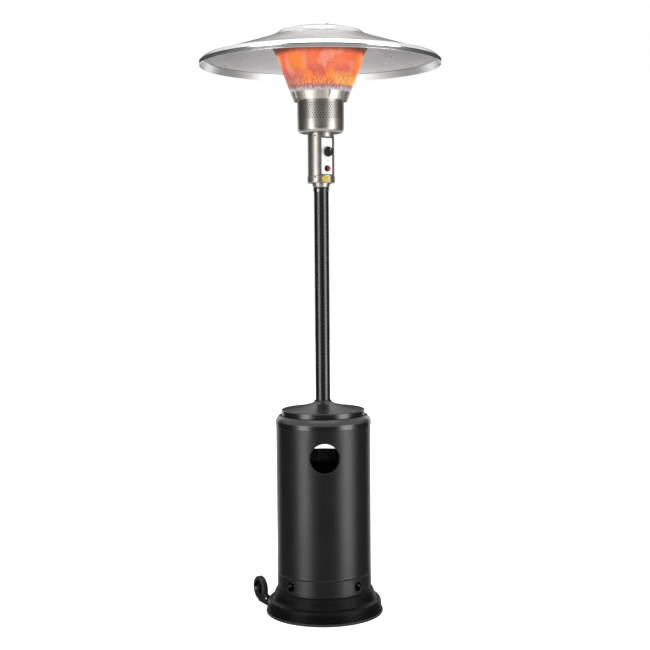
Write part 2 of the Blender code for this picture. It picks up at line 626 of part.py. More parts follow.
# ---------------------------------------------------------------- wheels
def make_wheels():
    # The kit's own frame: X runs outwards from the axis, Y along the axle.
    kit = Matrix.Rotation(math.radians(WHEEL_AZIMUTH - 90), 4, "Z")
    inner = BASE_RADIUS + 2 * GAP
    outer = inner + ARM_THICKNESS
    half = math.degrees(math.asin((ARM_OFFSETS[1] + ARM_THICKNESS / 3) / outer))
    band = arc(0, 0, outer, -half, half, 25) + arc(0, 0, inner, half, -half, 25)
    strap = plate("wheel_bracket", [band], STRAP_TOP - STRAP_BOTTOM, black_paint(),
                  kit @ Matrix.Translation((0, 0, (STRAP_TOP + STRAP_BOTTOM) / 2)))
    ear = arc(AXLE_RADIAL, AXLE_Z, EAR_RADIUS, -45, 135, 9)
    hole = circle(AXLE_RADIUS + 0.0005, 16, AXLE_RADIAL, AXLE_Z)
    for offset in ARM_OFFSETS:
        inside = offset - ARM_THICKNESS / 2
        root = math.sqrt(inner ** 2 - inside ** 2)
        clear = math.sqrt(FOOT_RADIUS ** 2 - inside ** 2) + 0.0010
        outline = [(root, STRAP_BOTTOM), (clear, STRAP_BOTTOM), (clear, ARM_BOTTOM),
                   (AXLE_RADIAL - 0.020, ARM_BOTTOM)] + ear + [
                   (AXLE_RADIAL - 0.032, ARM_TOP), (clear + 0.012, ARM_TOP), (root, STRAP_TOP)]
        for side in (1, -1):
            upright = kit @ Matrix.Translation((0, side * offset, 0)) @ Matrix.Rotation(
                math.radians(90), 4, "X")
            join(strap, plate(f"bracket_arm_{offset}_{side}", [outline, hole], ARM_THICKNESS, matrix=upright))
    axle_frame = kit @ Matrix.Translation((AXLE_RADIAL, 0, AXLE_Z)) @ Matrix.Rotation(
        math.radians(-90), 4, "X")
    head = AXLE_RADIUS + AXLE_CAP
    shank = AXLE_HALF - AXLE_HEAD
    axle = [(0.0, AXLE_HALF), (head * 0.7, AXLE_HALF - 0.0008), (head, AXLE_HALF - 0.003), (head, shank),
            (AXLE_RADIUS, shank), (AXLE_RADIUS, -shank), (head, -shank), (head, -AXLE_HALF + 0.003),
            (head * 0.7, -AXLE_HALF + 0.0008), (0.0, -AXLE_HALF)]
    bore = AXLE_RADIUS + 0.0005
    w, r = WHEEL_WIDTH / 2, WHEEL_RADIUS
    section = [(bore, w), (0.012, w), (0.014, w - 0.004), (r - 0.012, w - 0.004), (r - 0.009, w),
               (r, w - 0.002), (r, 0.002 - w), (r - 0.009, -w), (r - 0.012, 0.004 - w),
               (0.014, 0.004 - w), (0.012, -w), (bore, -w)]
    for name, side in (("left", 1), ("right", -1)):
        station = axle_frame @ Matrix.Translation((0, 0, side * WHEEL_TRACK))
        turned(f"wheel_axle_{name}", axle, zinc(), station, steps=TINY)
        turned(f"wheel_{name}", section, black_plastic(), station, steps=NARROW)


# ---------------------------------------------------------------- control housing
def round_with_flat(name, radius, flat, low, high, flat_low, flat_high, material=None):
    """Round bar about the axis, with the control face's flat cut between two heights."""
    bar = cylinder(name, radius, low, high, material, about(CONTROL_AZIMUTH), steps=WIDE)
    cut(bar, block(f"{name}_flat", (-0.09, -0.12, flat_low), (0.09, -flat, flat_high),
                   matrix=about(CONTROL_AZIMUTH)))
    return bar


def make_control_head():
    collar = CONTROL_RADIUS + COLLAR_PROUD
    collar_top = COLLAR_Z + COLLAR_HEIGHT
    turned_sheet("lower_collar", [
        (CONTROL_RADIUS - 0.0080, collar_top), (collar, collar_top),
        (collar, COLLAR_Z), (NECK_BORE + 0.004, COLLAR_Z)],
        FINE_SHEET, stainless(), steps=MIDDLE)
    shell = round_with_flat("control_housing", CONTROL_RADIUS, FLAT, CONTROL_Z, CONTROL_TOP,
                            FLAT_Z, FLAT_TOP, stainless())
    hollow = round_with_flat("control_hollow", CONTROL_RADIUS - FINE_SHEET, FLAT - FINE_SHEET,
                             CONTROL_Z - 0.01, CONTROL_TOP + 0.01, FLAT_Z - FINE_SHEET,
                             FLAT_TOP + FINE_SHEET)
    stem_hole = cylinder("stem_hole", STEM_RADIUS + 0.002, FLAT - 0.004, FLAT + 0.004,
                         matrix=along(CONTROL_AZIMUTH, 0.0, KNOB_Z), steps=TINY)
    button_hole = cylinder("button_hole", BUTTON_RADIUS + 0.001, FLAT - 0.004, FLAT + 0.004,
                           matrix=along(CONTROL_AZIMUTH, 0.0, IGNITER_Z), steps=NARROW)
    cut(shell, hollow, stem_hole, button_hole)
    half = FLAT_HALF - PANEL_SIDE_MARGIN
    panel = block("control_panel", (-half, -PANEL_FRONT, FLAT_Z + 0.004),
                  (half, -PANEL_BACK, FLAT_TOP - 0.004), white_panel(), about(CONTROL_AZIMUTH))
    cut(panel, stem_hole, button_hole)
    switch_y = CONTROL_RADIUS - 0.0150
    switch = block("tilt_switch", (-0.010, switch_y - 0.008, CONTROL_Z + 0.010),
                   (0.010, switch_y + 0.008, CONTROL_Z + 0.035), black_plastic(), about(CONTROL_AZIMUTH))
    bevel = switch.modifiers.new("edges", "BEVEL")
    bevel.width = 0.0012
    bevel.segments = 2


def make_valve():
    half = VALVE_SIZE[0] / 2
    frame = about(CONTROL_AZIMUTH)
    body = block("gas_valve", (-half, -VALVE_FRONT, VALVE_BASE_Z), (half, VALVE_BACK, VALVE_TOP_Z),
                 brass(), frame)
    boss = cylinder("valve_boss", 0.0095, VALVE_FRONT - 0.004, VALVE_BOSS,
                    matrix=along(CONTROL_AZIMUTH, 0.0, KNOB_Z))
    inlet = cylinder("valve_inlet", NIPPLE_RADIUS, VALVE_BASE_Z - NIPPLE, VALVE_BASE_Z + 0.004,
                     matrix=about(CONTROL_AZIMUTH, -HOSE_OFFSET), steps=TINY)
    outlet = cylinder("valve_outlet", NIPPLE_RADIUS, VALVE_TOP_Z - 0.004, VALVE_TOP_Z + NIPPLE,
                      matrix=frame, steps=TINY)
    join(body, boss, inlet, outlet)
    stem_root = VALVE_BOSS - 0.0100
    cut(body, cylinder("stem_socket", STEM_RADIUS + 0.0005, stem_root - 0.0005, VALVE_BOSS + 0.004,
                       matrix=along(CONTROL_AZIMUTH, 0.0, KNOB_Z), steps=TINY))
    cylinder("valve_stem", STEM_RADIUS, stem_root, KNOB_BACK + STEM_REACH, brass(),
             along(CONTROL_AZIMUTH, 0.0, KNOB_Z), steps=TINY)
    front = KNOB_BACK + KNOB_DEPTH
    bore = STEM_RADIUS + 0.0005
    bore_end = front - 0.0010
    turned("control_knob", [
        (0.0, front), (KNOB_RADIUS - 0.0030, front), (KNOB_RADIUS - 0.0015, front - 0.0012),
        (KNOB_RADIUS, KNOB_BACK), (KNOB_RADIUS - 0.0020, KNOB_BACK),
        (bore, KNOB_BACK), (bore, bore_end), (0.0, bore_end)], black_plastic(),
        along(CONTROL_AZIMUTH, 0.0, KNOB_Z), steps=MIDDLE)


def make_igniter():
    frame = along(CONTROL_AZIMUTH, 0.0, IGNITER_Z)
    mouth = FLAT - FINE_SHEET - 2 * GAP
    bottom = mouth - IGNITER_LENGTH
    bore = BUTTON_RADIUS + 0.0004
    turned("igniter_body", [(0.0, bottom + 0.002), (bore, bottom + 0.002), (bore, mouth),
                            (IGNITER_RADIUS, mouth), (IGNITER_RADIUS, bottom + 0.003),
                            (0.0060, bottom), (0.0, bottom)], black_plastic(), frame, steps=NARROW)
    seat = PANEL_FRONT + GAP
    turned("igniter_bezel", [(bore + 0.0006, seat), (bore + 0.0006, seat + BEZEL_DEPTH),
                             (BEZEL_RADIUS - 0.0010, seat + BEZEL_DEPTH),
                             (BEZEL_RADIUS, seat + BEZEL_DEPTH - 0.001), (BEZEL_RADIUS, seat)],
           black_plastic(), frame, steps=NARROW)
    tip = PANEL_FRONT + BUTTON_PROUD
    turned("igniter_button", [(0.0, tip), (BUTTON_RADIUS - 0.0025, tip - 0.0004),
                              (BUTTON_RADIUS - 0.0007, tip - 0.0014), (BUTTON_RADIUS, tip - 0.0032),
                              (BUTTON_RADIUS, mouth - BUTTON_TAIL), (0.0, mouth - BUTTON_TAIL)],
           red_plastic(), frame, steps=NARROW)


# ---------------------------------------------------------------- gas line
def local_point(x, y, z):
    """A point of the control housing's frame, in the object's frame."""
    return about(CONTROL_AZIMUTH) @ Vector((x, y, z))


def make_gas_line():
    low, bend_z, high = PLATE_Z + 0.001, POST_TOP + 0.010, VALVE_BASE_Z - NIPPLE - GAP
    points = [local_point(0, 0, low + (bend_z - low) * i / 6) for i in range(6)]
    for step in range(10):
        share = step / 9
        z = bend_z + (high - 0.012 - bend_z) * share
        points.append(local_point(0, smooth(0.0, HOSE_OFFSET, share), z))
    points.append(local_point(0, HOSE_OFFSET, high))
    tube("gas_hose", points, HOSE_RADIUS, rubber())
    top = low - GAP
    turned("hose_fitting", [(0.0, top), (0.0065, top), (0.0065, top - 0.006), (0.0105, top - 0.006),
                            (0.0105, top - 0.018), (0.0075, top - 0.018), (0.0075, top - 0.028),
                            (0.0, top - 0.028)], brass(), steps=TINY)


def small_tube(name, side, radius, top_z, material):
    """Tube from the valve, through the cup's floor and out to the pilot group."""
    start_z, floor_z, out_z = VALVE_TOP_Z + 2 * GAP, CUP_Z + 0.004, CUP_TOP - 0.050
    points = []
    for step in range(6):
        share = step / 5
        y = smooth(TUBE_START, TUBE_FLOOR, share)
        points.append(local_point(side * TUBE_SPREAD, y, start_z + (floor_z - start_z) * share))
    for step in range(1, 9):
        share = step / 8
        y = smooth(TUBE_FLOOR, PILOT_CIRCLE, share)
        x = side * smooth(TUBE_SPREAD, PILOT_SPREAD, share)
        points.append(local_point(x, y, floor_z + (out_z - floor_z) * share))
    points.append(local_point(side * PILOT_SPREAD, PILOT_CIRCLE, top_z))
    return tube(name, points, radius, material)


def make_burner():
    flange_z = CUP_TOP - FINE_SHEET
    cup = turned_sheet("burner_cup", [(CUP_RADIUS + CUP_RIM, flange_z), (CUP_RADIUS, flange_z)] + arc(
        CUP_RADIUS - CUP_ROUND, CUP_Z + CUP_ROUND, CUP_ROUND, 0, -90, 4) + [
        (MIXER_RADIUS + 0.0006, CUP_Z)], FINE_SHEET, stainless(), steps=WIDE)
    for side in (-1, 1):
        cut(cup, cylinder(f"tube_hole_{side + 1}", TUBE_RADIUS + 0.0010, CUP_Z - 0.005, CUP_Z + 0.005,
                          matrix=about(CONTROL_AZIMUTH) @ Matrix.Translation(
                              (side * TUBE_SPREAD, TUBE_FLOOR, 0)), steps=TINY))
    turned_sheet("mixer_tube", [
        (MIXER_RADIUS, MIXER_TOP), (MIXER_RADIUS, MIXER_Z + 0.012), (MIXER_RADIUS + 0.005, MIXER_Z)],
        FINE_SHEET, stainless(), steps=NARROW)
    turned("injector", [(0.0, JET_Z + 0.024), (0.0025, JET_Z + 0.024), (0.0035, JET_Z + 0.012),
                        (0.0065, JET_Z + 0.012), (0.0065, JET_Z), (0.0, JET_Z)], brass(), steps=TINY)
    hub = MIXER_RADIUS + FINE_SHEET + 0.0010
    turned_sheet("burner_head", [
        (0.0, BURNER_TOP), (BURNER_RADIUS - 0.008, BURNER_TOP - 0.002),
        (BURNER_RADIUS, BURNER_TOP - 0.006), (BURNER_RADIUS, BURNER_Z), (hub + 0.006, BURNER_Z - 0.012),
        (hub, BURNER_Z - 0.016), (hub, BURNER_Z - 0.026)], FINE_SHEET, stainless(), steps=MIDDLE)
    pilot_z = CUP_TOP - 0.030
    small_tube("pilot_tube", -1, TUBE_RADIUS, pilot_z, aluminium())
    small_tube("thermocouple", 1, 0.0016, CUP_TOP - 0.004, brass())
    turned("pilot_burner", [(0.0, 0.026), (0.0030, 0.026), (0.0048, 0.022), (0.0048, GAP), (0.0, GAP)],
           stainless(), about(CONTROL_AZIMUTH) @ Matrix.Translation(
               (-PILOT_SPREAD, PILOT_CIRCLE, pilot_z)), steps=TINY)
    turned("spark_electrode", [(0.0, 0.050), (0.0011, 0.049), (0.0011, 0.036), (0.0034, 0.034),
                               (0.0034, 0.006), (0.0020, 0.004), (0.0020, 0.0), (0.0, 0.0)],
           ceramic(), about(CONTROL_AZIMUTH) @ Matrix.Translation(
               (0, PILOT_CIRCLE + 0.0020, CUP_TOP - 0.054)), steps=TINY)


# ---------------------------------------------------------------- emitter and reflector
def make_emitter():
    turned_sheet("emitter_screen", [(EMITTER_TOP_RADIUS, EMITTER_TOP), (EMITTER_RADIUS, EMITTER_Z)],
                 FINE_SHEET, hot_screen(), steps=WIDE)
    bore = EMITTER_RADIUS + EMITTER_SLOPE * (EMITTER_RING_Z - EMITTER_Z) - 1.15 * FINE_SHEET - GAP
    turned("emitter_base_ring", ring_section(CUP_RADIUS - 0.0050, bore, EMITTER_RING_Z,
                                             EMITTER_RING_Z + EMITTER_RING_THICKNESS), stainless(),
           steps=WIDE)
    lid = EMITTER_TOP_RADIUS + 0.0006
    rim = lid + FINE_SHEET
    top = EMITTER_LID_Z + EMITTER_LID_THICKNESS
    turned("emitter_top_plate", [(0.0, top), (rim - 0.001, top), (rim, top - 0.001),
                                 (rim, EMITTER_TOP - EMITTER_LID_LIP), (lid, EMITTER_TOP - EMITTER_LID_LIP),
                                 (lid, EMITTER_LID_Z), (0.0, EMITTER_LID_Z)], stainless(), steps=WIDE)


def make_reflector():
    cap = turned_sheet("reflector_cap", [
        (0.0, CAP_TOP), (CAP_FLAT_RADIUS, CAP_TOP), (CAP_RADIUS - 0.0460, CAP_TOP - 0.0083),
        (CAP_RADIUS - 0.0255, CAP_TOP - 0.0220), (CAP_RADIUS - 0.0090, CAP_TOP - 0.0294),
        (CAP_RADIUS, CAP_RIM_Z)], FINE_SHEET, aluminium(), steps=WIDE)
    inner = CAP_RADIUS - PANEL_LAP
    profile = [(inner, CONE_START_Z + CONE_SLOPE * (inner - CONE_START_RADIUS)),
               (CONE_START_RADIUS, CONE_START_Z), (KNEE_RADIUS, KNEE_Z),
               (REFLECTOR_RADIUS - 0.0180, KNEE_Z - 0.0070), (REFLECTOR_RADIUS - 0.0120, KNEE_Z - 0.0130),
               (REFLECTOR_RADIUS - 0.0100, KNEE_Z - 0.0220), (REFLECTOR_RADIUS - 0.0040, KNEE_Z - 0.0260),
               (REFLECTOR_RADIUS - 0.0010, KNEE_Z - 0.0280),
               (REFLECTOR_RADIUS, KNEE_Z - 0.0280 - REFLECTOR_LIP)]
    seam_degrees = math.degrees(SEAM_GAP / REFLECTOR_RADIUS) * 2
    for number in range(3):
        start = SEAM_AZIMUTH - 90 + 120 * number + seam_degrees / 2
        turned_sheet(f"reflector_panel_{number + 1}", profile, FINE_SHEET, aluminium(), steps=14,
                     degrees=120 - seam_degrees, matrix=Matrix.Rotation(math.radians(start), 4, "Z"))
    underside = CAP_TOP - FINE_SHEET - GAP
    thread_top = CAP_TOP + NUT_HEIGHT - 0.0016
    for number in range(3):
        frame = about(STUD_AZIMUTH + 120 * number, STUD_CIRCLE)
        cut(cap, cylinder(f"stud_hole_{number}", STUD_THREAD + 0.0005, CAP_TOP - 0.006,
                          CAP_TOP + 0.006, matrix=frame, steps=TINY))
        turned(f"reflector_stud_{number + 1}", [
            (0.0, thread_top), (STUD_THREAD, thread_top), (STUD_THREAD, underside),
            (STUD_RADIUS, underside), (STUD_RADIUS, STUD_Z), (0.0, STUD_Z)], zinc(), frame, steps=TINY)
        seat = CAP_TOP + GAP
        bore = STUD_THREAD + GAP
        turned(f"cap_nut_{number + 1}", [
            (0.0, thread_top + GAP), (bore, thread_top + GAP), (bore, seat), (NUT_RADIUS, seat),
            (NUT_RADIUS, seat + 0.0028), (NUT_RADIUS * 0.7, seat + NUT_HEIGHT - 0.0006),
            (0.0, seat + NUT_HEIGHT)][::-1], zinc(), frame, steps=TINY)


def main():
    clear_scene()
    make_base()
    make_frame()
    make_post()
    make_housing()
    make_wheels()
    make_control_head()
    make_valve()
    make_igniter()
    make_gas_line()
    make_burner()
    make_emitter()
    make_reflector()


main()
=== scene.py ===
"""The outdoor gas heater's looks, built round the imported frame.

Metres, +Z up, front is -Y.  An azimuth is in degrees from the front, positive towards +X.
Every piece is built in the frame's own coordinates, and sizes come from the frame's boxes.
"""

import json
import math

import bmesh
import bpy
from mathutils import Matrix, Vector


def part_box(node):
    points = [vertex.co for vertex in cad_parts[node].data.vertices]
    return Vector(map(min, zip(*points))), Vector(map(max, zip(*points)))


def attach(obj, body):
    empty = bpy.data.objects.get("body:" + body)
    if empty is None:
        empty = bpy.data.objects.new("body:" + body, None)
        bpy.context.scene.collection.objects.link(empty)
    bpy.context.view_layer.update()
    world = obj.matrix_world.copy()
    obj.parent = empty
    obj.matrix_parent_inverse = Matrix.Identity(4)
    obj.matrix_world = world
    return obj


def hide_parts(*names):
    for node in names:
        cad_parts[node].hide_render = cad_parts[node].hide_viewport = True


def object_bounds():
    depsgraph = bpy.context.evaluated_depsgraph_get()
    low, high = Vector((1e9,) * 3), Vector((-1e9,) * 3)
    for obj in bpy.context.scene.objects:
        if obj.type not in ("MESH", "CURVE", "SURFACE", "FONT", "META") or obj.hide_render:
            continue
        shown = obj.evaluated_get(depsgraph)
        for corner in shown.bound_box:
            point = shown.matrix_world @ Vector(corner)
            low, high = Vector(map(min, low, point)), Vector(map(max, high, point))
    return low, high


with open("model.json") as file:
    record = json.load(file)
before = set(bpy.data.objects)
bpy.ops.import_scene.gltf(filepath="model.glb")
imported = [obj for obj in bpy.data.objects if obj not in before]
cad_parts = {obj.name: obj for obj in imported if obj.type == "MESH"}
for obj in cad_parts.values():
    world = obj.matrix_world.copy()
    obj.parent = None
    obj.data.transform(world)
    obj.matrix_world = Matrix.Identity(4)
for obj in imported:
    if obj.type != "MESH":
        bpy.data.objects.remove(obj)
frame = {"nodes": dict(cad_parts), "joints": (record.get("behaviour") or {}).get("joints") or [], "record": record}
cad_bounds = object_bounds()

# ---------------------------------------------------------------- sizes that several pieces share
SHEET = 0.0012               # pressed steel of the base, the housing and the lid
FINE_SHEET = 0.0010          # sheet of the head
SMALL_BEND = 0.0040          # bend of a sheet where the outline gives none
TURN = 2.0 * math.pi
UP = Vector((0, 0, 1))

CONTROL_AZIMUTH = 38.0       # the way the control face looks
HAND_HOLE_AZIMUTHS = (1.5, 181.5)
HAND_HOLE_RADIUS = 0.0565
VENT_AZIMUTHS = (45.0, 135.0, 225.0, 315.0)
VENT_RADIUS = 0.0175
HEAD_BOLT_AZIMUTHS = (-25.0, 65.0, 155.0, 245.0)
SHELL_SCREW_AZIMUTHS = (-25.0, 155.0)
SEAM_AZIMUTHS = (2.0, 122.0, 242.0)
STUD_AZIMUTHS = (13.0, 133.0, 253.0)
BAND_LENGTH = 0.0336         # plain band at the emitter's foot, along its slope
BAND_HEIGHT = 0.0315         # and its height
LID_SEAT = 0.1615            # where the lid rests on the shoulder ring
STUD_CIRCLE = 0.1170
SHARP_EDGE = 38.0            # an edge that bends more than this, in degrees, isn't shaded smooth


def low(node):
    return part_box(node)[0]


def high(node):
    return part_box(node)[1]


def span(node):
    """The lowest and the highest z of a node."""
    return low(node).z, high(node).z


def radius_of(node):
    """Half the widest side of a node that is turned about the vertical axis."""
    lowest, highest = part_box(node)
    return max(highest.x - lowest.x, highest.y - lowest.y) / 2


def around(radius, azimuth, z=0.0):
    """The point at this radius and azimuth from the vertical axis."""
    angle = math.radians(azimuth)
    return Vector((radius * math.sin(angle), -radius * math.cos(angle), z))


def facing(origin, direction, spin=0.0):
    """A placement whose +Z looks along direction, with +Y as near to world +Z as it can be."""
    forward = Vector(direction).normalized()
    upward = Vector((0, 0, 1)) if abs(forward.z) < 0.9 else Vector((0, 1, 0))
    across = upward.cross(forward).normalized()
    turn = Matrix((across, forward.cross(across), forward)).transposed().to_4x4()
    return Matrix.Translation(Vector(origin)) @ turn @ Matrix.Rotation(math.radians(spin), 4, "Z")


# ---------------------------------------------------------------- outlines
def rounded(points, radius, segments=5):
    """The open line through the points, with each inner corner turned into an arc."""
    line = [tuple(points[0])]
    for before, corner, after in zip(points, points[1:-1], points[2:]):
        a, b, c = Vector(before[:2]), Vector(corner[:2]), Vector(after[:2])
        size = corner[2] if len(corner) > 2 else radius
        into, out = (a - b), (c - b)
        half = into.angle(out) / 2
        if size <= 0 or half > math.radians(89.5):
            line.append(tuple(b))
            continue
        reach = min(size / math.tan(half), 0.49 * into.length, 0.49 * out.length)
        arc = reach * math.tan(half)
        centre = b + (into.normalized() + out.normalized()).normalized() * (arc / math.sin(half))
        start, end = b + into.normalized() * reach, b + out.normalized() * reach
        first, swing = start - centre, (start - centre).angle_signed(end - centre)
        for k in range(segments + 1):
            spot = first.copy()
            spot.rotate(Matrix.Rotation(-swing * k / segments, 2))
            line.append(tuple(centre + spot))
    line.append(tuple(points[-1][:2]))
    return line


def skin(line, thickness):
    """A closed outline of sheet: the line is its outer face, with the sheet on the line's left."""
    points = [Vector(p[:2]) for p in line]
    inner = []
    for i, point in enumerate(points):
        before = (point - points[i - 1]).normalized() if i else None
        after = (points[i + 1] - point).normalized() if i + 1 < len(points) else None
        one, two = before or after, after or before
        left = Vector((-one.y - two.y, one.x + two.x)).normalized()
        square = max(left.dot(Vector((-one.y, one.x))), 0.4)
        inner.append(point + left * thickness / square)
    return [tuple(p) for p in points] + [tuple(p) for p in reversed(inner)]


def loop(points, radius, segments=4):
    """A closed outline through the points with every corner rounded."""
    ring = list(points) + [points[0], points[1]]
    return rounded([points[-1]] + ring, radius, segments)[1:-1][: -(segments + 1)]


class Piece:
    """One visible piece: shells of points and faces in the frame's coordinates."""

    def __init__(self, name):
        self.name = name
        self.mesh = bmesh.new()
        self.materials = []

    def index(self, material):
        if material not in self.materials:
            self.materials.append(material)
        return self.materials.index(material)

    def add(self, points, faces, material, place=None):
        made = [self.mesh.verts.new(place @ Vector(p) if place else p) for p in points]
        slot = self.index(material)
        for corners in faces:
            self.mesh.faces.new([made[i] for i in corners]).material_index = slot
        return self

    def lathe(self, outline, material, steps=96, start=0.0, sweep=360.0, place=None, leave=None):
        """Turns a closed outline of (radius, z), which runs anticlockwise, about the vertical axis.
        leave says which of its runs, given as two points, make no face."""
        whole = sweep >= 360.0
        columns = steps if whole else steps + 1
        points, faces = [], []
        for j in range(columns):
            for r, z in outline:
                points.append(around(max(r, 0.0), start + sweep * j / steps, z))
        n = len(outline)
        for j in range(steps):
            this, following = j * n, ((j + 1) % columns) * n
            for i in range(n):
                k = (i + 1) % n
                if leave and leave(outline[i], outline[k]):
                    continue
                a, b = outline[i][0] > 1e-7, outline[k][0] > 1e-7
                if a and b:
                    faces.append((this + i, following + i, following + k, this + k))
                elif a:
                    faces.append((this + i, following + i, this + k))
                elif b:
                    faces.append((this + i, following + k, this + k))
        if not whole:
            faces.append(tuple(range(n)))
            faces.append(tuple(reversed(range(steps * n, steps * n + n))))
        return self.add(points, faces, material, place)

    def loft(self, rings, material, place=None, ends=True):
        """Skins a row of rings, each a closed loop with the same number of points."""
        n = len(rings[0])
        points = [p for ring in rings for p in ring]
        faces = []
        for j in range(len(rings) - 1):
            for i in range(n):
                k = (i + 1) % n
                faces.append((j * n + i, j * n + k, (j + 1) * n + k, (j + 1) * n + i))
        if ends:
            last = (len(rings) - 1) * n
            faces.append(tuple(reversed(range(n))))
            faces.append(tuple(range(last, last + n)))
        return self.add(points, faces, material, place)

    def slab(self, outline, thickness, material, place, edge=0.0):
        """A flat plate: the outline, anticlockwise in x and y, raised to thickness, its top edge softened."""
        centre = sum((Vector(p) for p in outline), Vector((0, 0))) / len(outline)
        rings = [[(x, y, 0.0) for x, y in outline], [(x, y, thickness - edge) for x, y in outline]]
        if edge:
            inward = [(Vector(p) - centre).normalized() * edge for p in outline]
            rings.append([(x - away.x, y - away.y, thickness) for (x, y), away in zip(outline, inward)])
        return self.loft(rings, material, place)

    def pierced(self, columns, rows, low_v, high_v, hole, quarter, surface, depth, material):
        """A staggered pattern of round holes in a wall, each in a cell with quarter steps to a side.
        surface(angle, v, depth) gives a point of the wall."""
        wide, tall = TURN / columns, (high_v - low_v) / rows
        steps = [k / quarter - 0.5 for k in range(quarter)]
        sides = [(t, -0.5) for t in steps] + [(0.5, t) for t in steps]
        sides += [(-t, 0.5) for t in steps] + [(-0.5, -t) for t in steps]
        n = len(sides)
        points, faces = [], []
        for row in range(rows):
            v = low_v + (row + 0.5) * tall
            reach = surface(0.0, v, 0.0).to_2d().length
            for column in range(columns):
                angle = (column + 0.5 * (row % 2)) * wide
                first = len(points)
                outer, rim = [], []
                for x, y in sides:
                    away = Vector((x * wide * reach, y * tall)).normalized() * hole
                    outer.append((angle + x * wide, v + y * tall))
                    rim.append((angle + away.x / reach, v + away.y))
                points += [surface(a, b, 0.0) for a, b in outer]
                points += [surface(a, b, 0.0) for a, b in rim]
                points += [surface(a, b, depth) for a, b in rim]
                points += [surface(a, b, depth) for a, b in outer]
                for i in range(n):
                    k = (i + 1) % n
                    for step in range(3):
                        base = first + step * n
                        faces.append((base + i, base + k, base + n + k, base + n + i))
        return self.add(points, faces, material)

    def windowed(self, radius, lines, holes, half, hole, thickness, material, between, count=12):
        """A round wall with a few large round holes, their edges rolled inwards.
        radius(z) is its outer face, lines its heights, and holes the (azimuth, z) of each hole."""
        opening = half / radius(holes[0][1])
        angles = []
        centres = sorted(math.radians(a % 360.0) for a, _ in holes)
        for i, centre in enumerate(centres):
            after = centres[(i + 1) % len(centres)] + (TURN if i + 1 == len(centres) else 0.0)
            angles += [centre + opening * (2 * k / count - 1) for k in range(count)]
            free = after - centre - 2 * opening
            angles += [centre + opening + free * k / between for k in range(between)]
        hole_z = holes[0][1]
        rungs = [z for z in lines if z < hole_z - half - 1e-6]
        rungs += [hole_z + half * (2 * k / count - 1) for k in range(count + 1)]
        rungs += [z for z in lines if z > hole_z + half + 1e-6]
        first_rung = rungs.index(hole_z - half)

        def at(angle, z, depth):
            reach = radius(z) - depth
            return Vector((reach * math.sin(angle), -reach * math.cos(angle), z))

        columns, wall, shells = len(angles), len(rungs), (0.0, thickness)
        points = [at(a, z, depth) for depth in shells for a in angles for z in rungs]

        def grid(shell, i, j):
            return (shell * columns + i % columns) * wall + j

        faces = []
        period = count + between
        for i in range(columns):
            for j in range(wall - 1):
                if i % period < count and first_rung <= j < first_rung + count:
                    continue
                quad = (grid(0, i, j), grid(0, i + 1, j), grid(0, i + 1, j + 1), grid(0, i, j + 1))
                faces.append(quad)
                faces.append(tuple(reversed([q + columns * wall for q in quad])))
            for j, order in ((0, 1), (wall - 1, -1)):
                edge = (grid(1, i, j), grid(1, i + 1, j), grid(0, i + 1, j), grid(0, i, j))
                faces.append(edge[::order])
        # The rolled edge: each ring's share of the hole's radius, and its depth.
        lip = ((1.06, 0.0), (1.02, 0.0002), (1.0, 0.0011), (0.995, 0.0030), (1.015, 0.0032),
               (1.04, thickness + 0.0002))
        for h in range(len(holes)):
            ring = [(k, 0) for k in range(count)] + [(count, k) for k in range(count)]
            ring += [(count - k, count) for k in range(count)] + [(0, count - k) for k in range(count)]
            loops = [[grid(0, h * period + i, first_rung + j) for i, j in ring]]
            spots = [(angles[h * period] + opening * 2 * i / count, rungs[first_rung + j]) for i, j in ring]
            middle = angles[h * period] + opening
            for share, depth in lip:
                fresh = []
                for angle, z in spots:
                    away = Vector(((angle - middle) * radius(z), z - hole_z)).normalized() * hole * share
                    fresh.append(len(points))
                    points.append(at(middle + away.x / radius(hole_z), hole_z + away.y, depth))
                loops.append(fresh)
            loops.append([q + columns * wall for q in loops[0]])
            for one, two in zip(loops, loops[1:]):
                for i in range(len(ring)):
                    k = (i + 1) % len(ring)
                    faces.append((one[i], one[k], two[k], two[i]))
        return self.add(points, faces, material)

    def head(self, origin, direction, radius, height, material, kind="cross", washer=None, spin=0.0):
        """A screw's or bolt's head: pan with a cross or socket recess, or a hexagon."""
        place = facing(origin, direction, spin)
        steps = 36

        def ring(size, z, shape=None):
            points = []
            for k in range(steps):
                angle = TURN * k / steps
                if shape == "cross":
                    r = size * (0.34 + 0.66 * abs(math.cos(2 * angle)) ** 5)
                elif shape == "six":
                    r = size / math.cos((angle + TURN / 12) % (TURN / 6) - TURN / 12)
                else:
                    r = size
                points.append((r * math.cos(angle), r * math.sin(angle), z))
            return points

        if washer:
            disc = [(radius * 0.4, 0.0), (washer, 0.0), (washer, 0.0008), (radius * 0.4, 0.0008)]
            self.lathe(loop(disc, 0.0002, 2), material, 32, place=place)
        if kind == "hex":
            rings = [ring(radius * 1.0, 0.0, "six"), ring(radius * 1.0, height * 0.8, "six")]
            rings += [ring(radius * 0.97, height * 0.97), ring(radius * 0.75, height)]
            return self.loft(rings, material, place)
        rings = [ring(radius, 0.0), ring(radius, height * 0.30)]
        for k in range(1, 5):
            swing = k / 5 * math.pi / 2
            size, rise = 0.45 + 0.55 * math.cos(swing), 0.3 + 0.7 * math.sin(swing)
            rings.append(ring(radius * size, height * rise))
        shape = "cross" if kind == "cross" else "six"
        size = radius * (0.62 if kind == "cross" else 0.42)
        rings.append(ring(size * 1.06, height, shape))
        rings.append(ring(size, height * 0.93, shape))
        rings.append(ring(size * 0.72, height * 0.35, shape))
        return self.loft(rings, material, place)

